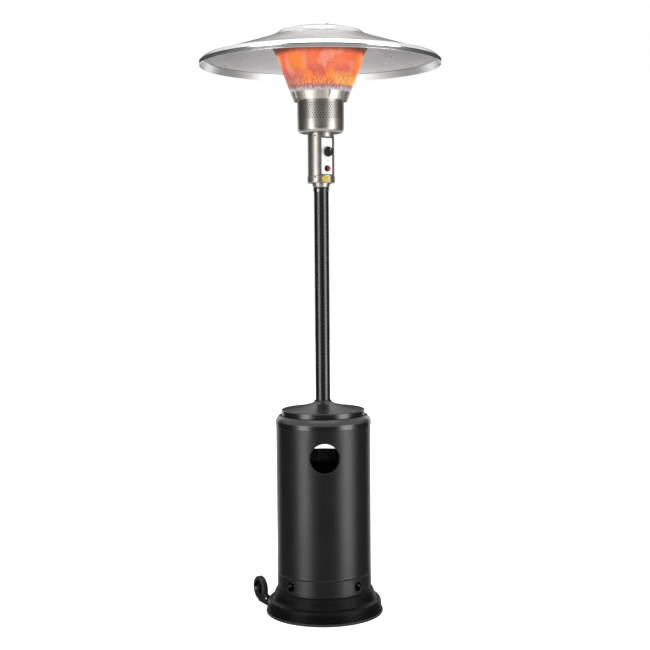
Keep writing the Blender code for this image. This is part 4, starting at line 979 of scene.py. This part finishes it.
def make_button(ahead, button_z, flat):
    """Igniter's black ring nut and its red push button."""
    face = flat + 0.0014
    place = facing(ahead * face + Vector((0, 0, button_z)), ahead)
    ring = [(0.0092, 0.0), (0.0123, 0.0), (0.0123, 0.0022), (0.0112, 0.0040), (0.0098, 0.0040),
            (0.0092, 0.0034)]
    piece = Piece("igniter_ring")
    steps = 72
    rings = []
    outline = loop(ring, 0.0004, 2)
    for k in range(steps):
        angle = TURN * k / steps
        notch = 0.0005 if k % 6 in (0, 1) else 0.0
        cut = [(r - notch if r > 0.0116 else r, z) for r, z in outline]
        rings.append([(r * math.cos(angle), r * math.sin(angle), z) for r, z in cut])
    rings.append(rings[0])
    piece.loft(rings, PLASTIC, place, ends=False)
    piece.done("stand", "black_plastic", "igniter_bezel")

    tip = flat + 0.0161
    place = facing(ahead * tip + Vector((0, 0, button_z)), ahead)
    tail, sleeve = -0.0310, -0.0030
    line = [(0.0, tail), (0.0083, tail, 0.0004), (0.0085, sleeve, 0.0006), (0.0078, sleeve + 0.0004, 0.0),
            (0.0, sleeve + 0.0004)]
    piece = Piece("igniter_cap")
    piece.lathe(rounded(line, 0.0004, 3), PLASTIC, 56, place=place)
    line = [(0.0, sleeve + 0.0004), (0.0077, sleeve + 0.0004, 0.0), (0.0077, -0.0012, 0.0014),
            (0.0060, -0.0001, 0.0012), (0.0040, -0.0003, 0.002), (0.0, -0.0009)]
    piece.lathe(rounded(line, 0.0006, 4), RED, 56, place=place)
    piece.done("igniter", "red_plastic", "igniter_button")


# ---------------------------------------------------------------- burner head
def make_cup():
    """Perforated burner cup: round bottom, a field of small holes and a turned-out rim."""
    wall = 0.0890
    bottom, top = span("burner_cup")
    rim = radius_of("burner_cup")
    row, rows, columns, quarter = 0.0080, 8, 51, 4
    field_low = bottom + 0.0500
    field_high = field_low + row * rows
    line = [(0.0370, bottom), (wall, bottom, 0.018), (wall, field_low, 0), (wall, field_high, 0),
            (wall, top - 0.0012, 0.0012), (rim - 0.0004, top - 0.0011, 0.0003), (rim - 0.0002, top)]
    outline = skin(rounded(line, 0.0, 8), FINE_SHEET)

    def in_field(a, b):
        return abs(abs(a[1] - b[1]) - (field_high - field_low)) < 1e-6

    def wall_point(angle, z, depth):
        return Vector(((wall - depth) * math.sin(angle), -(wall - depth) * math.cos(angle), z))

    piece = Piece("perforated_cup")
    piece.lathe(outline, STEEL, columns * quarter, leave=in_field)
    piece.pierced(columns, rows, field_low, field_high, 0.0024, quarter, wall_point, FINE_SHEET, STEEL)
    # Behind the holes, a dark sheet: painted shade, so that the holes read dark.
    liner = [(wall - 0.0050, field_low - 0.0030), (wall - 0.0050, field_high + 0.0015),
             (wall - 0.0058, field_high + 0.0015), (wall - 0.0058, field_low - 0.0030)]
    piece.lathe(liner, PAINTED_SHADE_LINER, columns)
    for azimuth in (175.0, 188.0):
        piece.head(around(wall - 0.0001, azimuth, top - 0.016), around(1, azimuth), 0.0024, 0.0012, ZINC)
    piece.done("stand", "stainless", "burner_cup")

    piece = Piece("sight_hole_plug")
    piece.head(around(wall - 0.0001, -41.0, top - 0.0056), around(1, -41.0), 0.0030, 0.0005, INK, "socket")
    piece.done("stand", "black_plastic")


def make_emitter():
    """The glowing screen's cone: plain band and lip below, perforated screen, folded edge and lid above."""
    base, top = span("emitter_screen")
    wide = radius_of("emitter_screen")
    narrow = 0.1020
    length = math.hypot(wide - narrow, top - base)
    ahead = Vector((wide - narrow, top - base)) / length
    columns, quarter, rows = 104, 2, 24
    field_low, field_high = BAND_LENGTH + 0.0044, length - 0.0060

    def on_slope(v, depth=0.0):
        return (narrow + ahead.x * v - ahead.y * depth, base + ahead.y * v + ahead.x * depth)

    def wall_point(angle, v, depth):
        r, z = on_slope(v, depth)
        return Vector((r * math.sin(angle), -r * math.cos(angle), z))

    steps = columns * quarter
    piece = Piece("glowing_emitter")
    piece.lathe(skin([on_slope(0.0004), on_slope(BAND_LENGTH)], FINE_SHEET), EMITTER_BAND, steps)
    piece.lathe(skin([on_slope(BAND_LENGTH), on_slope(field_low)], FINE_SHEET), GLOW, steps)
    piece.pierced(columns, rows, field_low, field_high, 0.0016, quarter, wall_point, FINE_SHEET, GLOW)
    upper = skin([on_slope(field_high), on_slope(length - 0.0004)], FINE_SHEET)
    piece.lathe(upper, GLOW, steps)
    inner = [on_slope(field_low - 0.002, 0.0050), on_slope(field_high + 0.002, 0.0050),
             on_slope(field_high + 0.002, 0.0056), on_slope(field_low - 0.002, 0.0056)]
    piece.lathe(inner, EMBER, columns)
    piece.done("stand", "hot_screen", "emitter_screen")

    ring_low, ring_high = span("emitter_base_ring")
    outer = radius_of("emitter_base_ring")
    line = [(0.0880, ring_low), (outer - 0.0004, ring_low), (outer, ring_low + 0.0008),
            (outer, ring_high - 0.0004), (outer - 0.0008, ring_high), (0.0880, ring_high)]
    piece = Piece("emitter_ring")
    piece.lathe(loop(line, 0.0003, 2), STEEL_ROUND, 120)
    for k in range(6):
        azimuth = 20.0 + 60.0 * k
        piece.head(around(outer - 0.0050, azimuth, ring_low + 0.0001), (0, 0, -1), 0.0024, 0.0012, ZINC)
    piece.done("stand", "stainless", "emitter_base_ring")

    lid_low, lid_high = span("emitter_top_plate")
    edge = radius_of("emitter_top_plate")
    line = [(edge - 0.0002, lid_low), (edge, lid_high - 0.0014, 0.0014),
            (edge - 0.0016, lid_high - 0.0002, 0.001), (edge - 0.0120, lid_high - 0.0002, 0.004),
            (edge - 0.0200, lid_high - 0.0010, 0.004), (0.0600, lid_high - 0.0010, 0.004),
            (0.0560, lid_high, 0.004), (0.0, lid_high)]
    turned_sheet("emitter_lid", line, FINE_SHEET, STEEL_ROUND, 120, "stand", "stainless",
                 "emitter_top_plate", bend=0.001, segments=4)


# ---------------------------------------------------------------- reflector
def make_reflector():
    """Three aluminium panels under a pressed cap, with their seam screws, studs and cap nuts."""
    top = high("reflector_panel_1").z
    rim_z = low("reflector_panel_1").z
    rim = cad_bounds[1].x - 0.0001
    line = [
        (rim - 0.0008, rim_z), (rim, rim_z + 0.0010, 0.0006), (rim - 0.0006, 2.1255, 0.0010),
        (rim - 0.0001, 2.1292, 0.0014), (rim - 0.0024, 2.1318, 0.0020), (0.4500, 2.1400, 0.010),
        (0.4400, 2.1460, 0.012), (0.4090, 2.1532, 0.02), (0.1940, 2.2202, 0.02), (0.1500, top - 0.0002),
    ]
    outer = rounded(line, 0.004, 5)
    # Long straight runs are divided, so that the sheet can carry the press's slow waves.
    divided = []
    for a, b in zip(outer, outer[1:]):
        count = max(1, round(math.dist(a, b) / 0.012))
        across, rise = b[0] - a[0], b[1] - a[1]
        divided += [(a[0] + across * k / count, a[1] + rise * k / count) for k in range(count)]
    divided.append(outer[-1])
    outline = skin(divided, FINE_SHEET * 0.9)
    half = len(divided)
    for number, seam in enumerate(SEAM_AZIMUTHS, 1):
        piece = Piece(f"reflector_sheet_{number}")
        steps = 72
        points = []
        for j in range(steps + 1):
            azimuth = seam + 0.05 + (120.0 - 0.10) * j / steps
            for i, (r, z) in enumerate(outline):
                wave = math.sin(math.radians(azimuth) * 9 + r * 20) * 0.00022
                wave += math.sin(math.radians(azimuth) * 17 - r * 55) * 0.00012
                free = max(0.0, min(1.0, (r - 0.21) / 0.05)) * max(0.0, min(1.0, (0.435 - r) / 0.05))
                points.append(around(r, azimuth, z + wave * free))
        n = len(outline)
        upper_faces, under_faces = [], []
        for j in range(steps):
            for i in range(n):
                k = (i + 1) % n
                quad = (j * n + i, (j + 1) * n + i, (j + 1) * n + k, j * n + k)
                (upper_faces if i < half else under_faces).append(quad)
        upper_faces.append(tuple(range(n)))
        upper_faces.append(tuple(reversed(range(steps * n, steps * n + n))))
        piece.add(points, upper_faces, ALUMINIUM)
        piece.add(points, under_faces, ALUMINIUM_UNDER_SHADED)
        # The folded hem under the rim, in the brighter aluminium of its painted highlight.
        hem = [(rim - 0.0012, rim_z + 0.0004), (0.4462, 2.1402), (0.4454, 2.1396),
               (rim - 0.0022, rim_z + 0.0001)]
        piece.lathe(hem, HEM_PAINTED_HIGHLIGHT, steps, seam + 0.05, 120.0 - 0.10)
        seam_cover(piece, divided, seam)
        piece.done("stand", "aluminium", f"reflector_panel_{number}")
    make_cap()


def seam_cover(piece, line, seam):
    """The folded seam between two panels: a narrow strip on top, and its screws."""
    spots = [p for p in line if 0.2050 < p[0] < 0.4400]
    rings = []
    for r, z in spots:
        half = math.degrees(0.0065 / r)
        corners = ((-half, 0.0001), (half, 0.0001), (half, 0.0008), (-half, 0.0008))
        rings.append([around(r, seam + side, z + lift) for side, lift in corners])
    piece.loft(rings, ALUMINIUM)
    normal = around(1, seam + 2.0) * 0.30 + Vector((0, 0, 0.95))
    for r in (0.2350, 0.3350, 0.4320):
        z = next(b[1] + (a[1] - b[1]) * (r - b[0]) / (a[0] - b[0])
                 for a, b in zip(line, line[1:]) if b[0] <= r <= a[0])
        piece.head(around(r, seam, z + 0.0007), normal, 0.0036, 0.0020, BRIGHT)
        piece.head(around(r, seam, z - 0.0014), -normal, 0.0034, 0.0026, BRIGHT, "hex")


def make_cap():
    """Pressed cap over the panels, held on three studs by domed nuts."""
    cap_low, cap_high = span("reflector_cap")
    rim = radius_of("reflector_cap")
    line = [
        (rim - 0.0002, cap_low + 0.0002), (rim - 0.0006, cap_low + 0.0010, 0.001),
        (0.1940, cap_low + 0.0026, 0.003), (0.1775, 2.2294, 0.020), (0.1570, 2.2431, 0.020),
        (0.1230, cap_high - 0.0002, 0.012),
        (0.0700, cap_high - 0.0002, 0.004), (0.0640, cap_high - 0.0010, 0.004), (0.0, cap_high - 0.0010),
    ]
    outer = rounded(line, 0.002, 6)
    piece = Piece("reflector_crown")
    outline = skin(outer, FINE_SHEET)
    half = len(outer)
    n = len(outline)
    steps = 144
    points = [around(max(r, 0.0), 360.0 * j / steps, z) for j in range(steps) for r, z in outline]
    upper_faces, under_faces = [], []
    for j in range(steps):
        this, following = j * n, ((j + 1) % steps) * n
        for i in range(n - 1):
            if i == half - 1:
                continue
            faces = upper_faces if i < half else under_faces
            if outline[i][0] < 1e-6:
                faces.append((this + i, following + i + 1, this + i + 1))
            elif outline[i + 1][0] < 1e-6:
                faces.append((this + i, following + i, this + i + 1))
            else:
                faces.append((this + i, following + i, following + i + 1, this + i + 1))
        upper_faces.append((this + n - 1, following + n - 1, following, this))
    piece.add(points, upper_faces, ALUMINIUM)
    piece.add(points, under_faces, ALUMINIUM_UNDER_SHADED)
    piece.done("stand", "aluminium", "reflector_cap")

    for number, azimuth in enumerate(STUD_AZIMUTHS, 1):
        stud_low = low(f"reflector_stud_{number}").z
        collar = cap_high - FINE_SHEET - 0.0004
        spot = around(STUD_CIRCLE, azimuth)
        piece = Piece(f"stand_off_{number}")
        place = Matrix.Translation(spot)
        line = [(0.0, stud_low), (0.0058, stud_low, 0.0004), (0.0060, stud_low + 0.0006, 0.0004),
                (0.0060, collar - 0.0006, 0.0004), (0.0055, collar, 0.0003), (0.0029, collar, 0.0),
                (0.0029, cap_high + 0.0010, 0.0004), (0.0, cap_high + 0.0012)]
        piece.lathe(rounded(line, 0.0003, 2), ZINC, 28, place=place)
        piece.done("stand", "zinc", f"reflector_stud_{number}")
        nut_low, nut_high = span(f"cap_nut_{number}")
        piece = Piece(f"domed_nut_{number}")
        half_height = (nut_high - nut_low) * 0.5
        piece.head(spot + Vector((0, 0, nut_low)), UP, 0.0052, half_height, BRIGHT, "hex", spin=10.0)
        dome = [(0.0, nut_low + 0.0016), (0.0043, nut_low + 0.0018, 0.0002),
                (0.0043, nut_low + 0.0030, 0.0014), (0.0022, nut_high - 0.0003, 0.0016), (0.0, nut_high)]
        piece.lathe(rounded(dome, 0.001, 5), BRIGHT, 32, place=place)
        piece.done("stand", "stainless", f"cap_nut_{number}")


# ---------------------------------------------------------------- wheels
def make_wheels():
    """Each wheel behind the base: treaded tyre, spoked hub, and the stub axle through its fork."""
    for side in ("left", "right"):
        joint = next(j for j in frame["joints"] if j["name"] == f"wheel_{side}_spin")
        axis = Vector(joint["axis"]).normalized() * (1 if side == "left" else -1)
        lowest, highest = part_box(f"wheel_{side}")
        centre = (lowest + highest) / 2
        radius = (highest.z - lowest.z) / 2
        place = facing(centre, axis)
        half = 0.0118
        piece = Piece(f"castor_{side}")
        piece.lathe(loop(tyre_outline(radius, half), 0.0003, 2), RUBBER, 96, place=place)
        rim = [(0.0322, -half + 0.001), (0.0350, -half + 0.001), (0.0352, half - 0.0008),
               (0.0322, half - 0.0008)]
        piece.lathe(loop(rim, 0.0006, 2), PLASTIC, 72, place=place)
        web = [(0.0100, -0.0018), (0.0330, -0.0018), (0.0330, 0.0018), (0.0100, 0.0018)]
        piece.lathe(web, PLASTIC, 72, place=place)
        hub = [(0.0044, -half), (0.0105, -half), (0.0112, -half + 0.001), (0.0112, half - 0.001),
               (0.0100, half), (0.0044, half)]
        piece.lathe(loop(hub, 0.0005, 2), PLASTIC, 48, place=place)
        for k in range(6):
            spoke = [(0.0105, -0.0014), (0.0328, -0.0014), (0.0328, 0.0014), (0.0105, 0.0014)]
            turn = place @ Matrix.Rotation(TURN * k / 6, 4, "Z") @ Matrix.Translation((0, 0, -half + 0.0022))
            piece.slab(spoke, 2 * half - 0.0044, PLASTIC, turn, 0.0004)
        piece.done(f"wheel_{side}", "black_plastic", f"wheel_{side}")

        head_start, tip = 0.0198, 0.0258
        bolt = [(0.0, -tip + 0.0010), (0.0050, -tip, 0.0010), (0.0072, -tip + 0.0020, 0.0016),
                (0.0074, -head_start, 0.0003), (0.0040, -head_start, 0.0), (0.0040, head_start, 0.0),
                (0.0058, head_start, 0.0), (0.0058, tip - 0.0012, 0.0006), (0.0040, tip - 0.0010, 0.0),
                (0.0038, tip, 0.0005), (0.0, tip)]
        piece = Piece(f"axle_bolt_{side}")
        piece.lathe(rounded(bolt, 0.0005, 3), ZINC, 32, place=place)
        piece.done("stand", "zinc", f"wheel_axle_{side}")


def tyre_outline(radius, half):
    """A tyre's section with four grooves round its tread."""
    tread = [(0.0350, -half), (radius - 0.0040, -half), (radius - 0.0006, -half + 0.0036)]
    for k in range(5):
        middle = -0.0060 + 0.0030 * k
        tread += [(radius - 0.0003, middle - 0.0010), (radius - 0.0003, middle + 0.0003)]
        tread += [(radius - 0.0014, middle + 0.0006), (radius - 0.0014, middle + 0.0012)]
    return tread + [(radius - 0.0006, half - 0.0036), (radius - 0.0040, half), (0.0350, half)]


def make_fixings():
    """Bolts of the legs, the wheel bracket and the mounting plate."""
    piece = Piece("frame_bolts")
    plate, foot = high("mounting_plate").z, low("support_leg_1").z + 0.0040
    for azimuth in (102.0, 150.0, 210.0, 258.0):
        for place in (around(0.1520, azimuth, plate), around(0.1500, azimuth, foot)):
            piece.head(place, UP, 0.0060, 0.0040, ZINC, "hex", 0.0080)
    for azimuth in (45.0, 135.0, 225.0, 315.0):
        spot = around(0.0470, azimuth, high("post_flange").z - 0.0260)
        piece.head(spot, UP, 0.0055, 0.0036, ZINC, "hex", 0.0072)
    for azimuth in (182.0, 208.0, 234.0):
        piece.head(around(0.2262, azimuth, 0.0230), around(1, azimuth), 0.0050, 0.0034, ZINC, "hex", 0.0068)
    piece.done("stand", "zinc")


def finish_other_nodes():
    """Gives the CAD nodes that stay in view, or inside, their materials."""
    finishes = {
        "black_paint": BLACK, "stainless": STEEL, "aluminium": ALUMINIUM, "zinc": ZINC, "brass": BRASS,
        "black_plastic": PLASTIC, "red_plastic": RED, "white_panel": WHITE_PAINTED_GLOW, "rubber": RUBBER,
        "concrete": CONCRETE, "ceramic": CERAMIC, "hot_screen": GLOW,
    }
    slots = {part["node"]: part["material_slot"] for part in frame["record"]["subparts"]}
    for name, node in frame["nodes"].items():
        material = finishes[slots[name]]
        node.data.materials.clear()
        node.data.materials.append(material)
        node.data.shade_smooth()
        node.data.set_sharp_from_angle(angle=math.radians(35))


# ---------------------------------------------------------------- stage
FRONT_LIFT = -0.07           # the surroundings brighten at a lower height in front than behind
LOW_FRONT_LIFT = 0.5         # and what is below and in front is brighter still


def make_stage():
    """Pale floor, studio light and the camera."""
    size = 14.0
    data = bpy.data.meshes.new("floor")
    corners = [(-size, -size, 0), (size, -size, 0), (size, size, 0), (-size, size, 0)]
    data.from_pydata(corners, [], [(0, 1, 2, 3)])
    floor = bpy.data.objects.new("floor", data)
    bpy.context.scene.collection.objects.link(floor)
    f = Finish("pale_floor", (0.90, 0.90, 0.90), 0.0, 0.8, Emission_Strength=0.72)
    f.to("Base Color", f.mix(f.spread(f.noise(3.0, 3.0), 0.0, 1.0), (0.88, 0.88, 0.88), (0.92, 0.92, 0.92)))
    f.shader.inputs["Emission Color"].default_value = (1.0, 1.0, 1.0, 1.0)
    data.materials.append(f.material)
    floor.visible_glossy = False
    floor.visible_diffuse = False
    make_studio()

    tall, middle = 3.2, 0.80
    for azimuth, distance, wide, radiance in (
        (-47.0, 3.2, 1.5, 4.1), (57.0, 3.2, 1.7, 4.4), (-150.0, 3.6, 1.1, 1.4), (152.0, 3.6, 1.1, 1.4),
    ):
        softbox(around(distance, azimuth, middle), Vector((0, 0, middle)), wide, tall, radiance)
    softbox(Vector((0, 0, 4.6)), Vector((0, 0, 0)), 3.0, 3.0, 1.6)

    camera = bpy.data.cameras.new("camera")
    camera.lens, camera.sensor_width = 68.46, 36.0
    eye = bpy.data.objects.new("camera", camera)
    bpy.context.scene.collection.objects.link(eye)
    yaw, pitch, lean = math.radians(0.121), math.radians(3.61), 0.0081
    ahead = Vector((math.sin(yaw) * math.cos(pitch), math.cos(yaw) * math.cos(pitch), -math.sin(pitch)))
    right = ahead.cross(UP).normalized()
    up = (right.cross(ahead) + lean * right).normalized()
    right = ahead.cross(up).normalized()
    turn = Matrix((right, up, -ahead)).transposed().to_4x4()
    eye.matrix_world = Matrix.Translation((0.0, -4.7797, 1.4235)) @ turn
    bpy.context.scene.camera = eye
    bpy.context.scene.view_settings.view_transform = "Standard"


def make_studio():
    """White surroundings for the camera.  What the object reflects is darker at the horizon than above
    and below, and brighter below in front."""
    world = bpy.data.worlds.new("studio")
    bpy.context.scene.world = world
    world.use_nodes = True
    nodes, links = world.node_tree.nodes, world.node_tree.links
    seen, light = nodes["Background"], nodes.new("ShaderNodeBackground")
    seen.inputs["Color"].default_value = (1.0, 1.0, 1.0, 1.0)
    coordinates, separate = nodes.new("ShaderNodeTexCoord"), nodes.new("ShaderNodeSeparateXYZ")
    links.new(coordinates.outputs["Generated"], separate.inputs[0])

    def leaned(lean):
        """The direction's height plus a share of how far it points to the rear."""
        made = nodes.new("ShaderNodeMath")
        made.operation = "MULTIPLY_ADD"
        links.new(separate.outputs["Y"], made.inputs[0])
        made.inputs[1].default_value = lean
        links.new(separate.outputs["Z"], made.inputs[2])
        return made.outputs[0]

    def mapped(value, **limits):
        """The value with its range mapped to another; a limit that isn't given stays 0 or 1."""
        made = nodes.new("ShaderNodeMapRange")
        for socket, limit in limits.items():
            made.inputs[socket.replace("_", " ")].default_value = limit
        links.new(value, made.inputs["Value"])
        return made.outputs["Result"]

    shade = nodes.new("ShaderNodeValToRGB")
    links.new(mapped(leaned(FRONT_LIFT), From_Min=-1.0), shade.inputs["Fac"])
    stops = ((-1.0, 0.95), (-0.85, 0.72), (-0.62, 0.44), (-0.42, 0.20), (-0.30, 0.05), (0.06, 0.05),
             (0.17, 0.11), (0.26, 0.22), (0.34, 0.60), (0.42, 0.92), (1.0, 1.0))
    fill_ramp(shade, [((rise + 1.0) / 2, (grey, grey * 0.985, grey * 0.965)) for rise, grey in stops])
    links.new(shade.outputs["Color"], light.inputs["Color"])
    below = mapped(leaned(LOW_FRONT_LIFT), From_Min=-0.50, From_Max=-0.68, To_Min=1.0, To_Max=1.6)
    links.new(below, light.inputs["Strength"])
    choice, ray = nodes.new("ShaderNodeMixShader"), nodes.new("ShaderNodeLightPath")
    links.new(ray.outputs["Is Camera Ray"], choice.inputs[0])
    links.new(light.outputs[0], choice.inputs[1])
    links.new(seen.outputs[0], choice.inputs[2])
    links.new(choice.outputs[0], nodes["World Output"].inputs["Surface"])


def softbox(place, target, wide, tall, radiance):
    """A plain rectangular light of this brightness that looks at the target."""
    light = bpy.data.lights.new("softbox", "AREA")
    light.shape, light.size, light.size_y = "RECTANGLE", wide, tall
    light.energy = radiance * math.pi * wide * tall
    lamp = bpy.data.objects.new("softbox", light)
    bpy.context.scene.collection.objects.link(lamp)
    lamp.matrix_world = facing(place, (place - target).normalized())
    lamp.visible_camera = False


make_stage()
finish_other_nodes()
make_base()
make_housing()
make_post()
make_control_head()
make_cup()
make_emitter()
make_reflector()
make_wheels()
make_fixings()
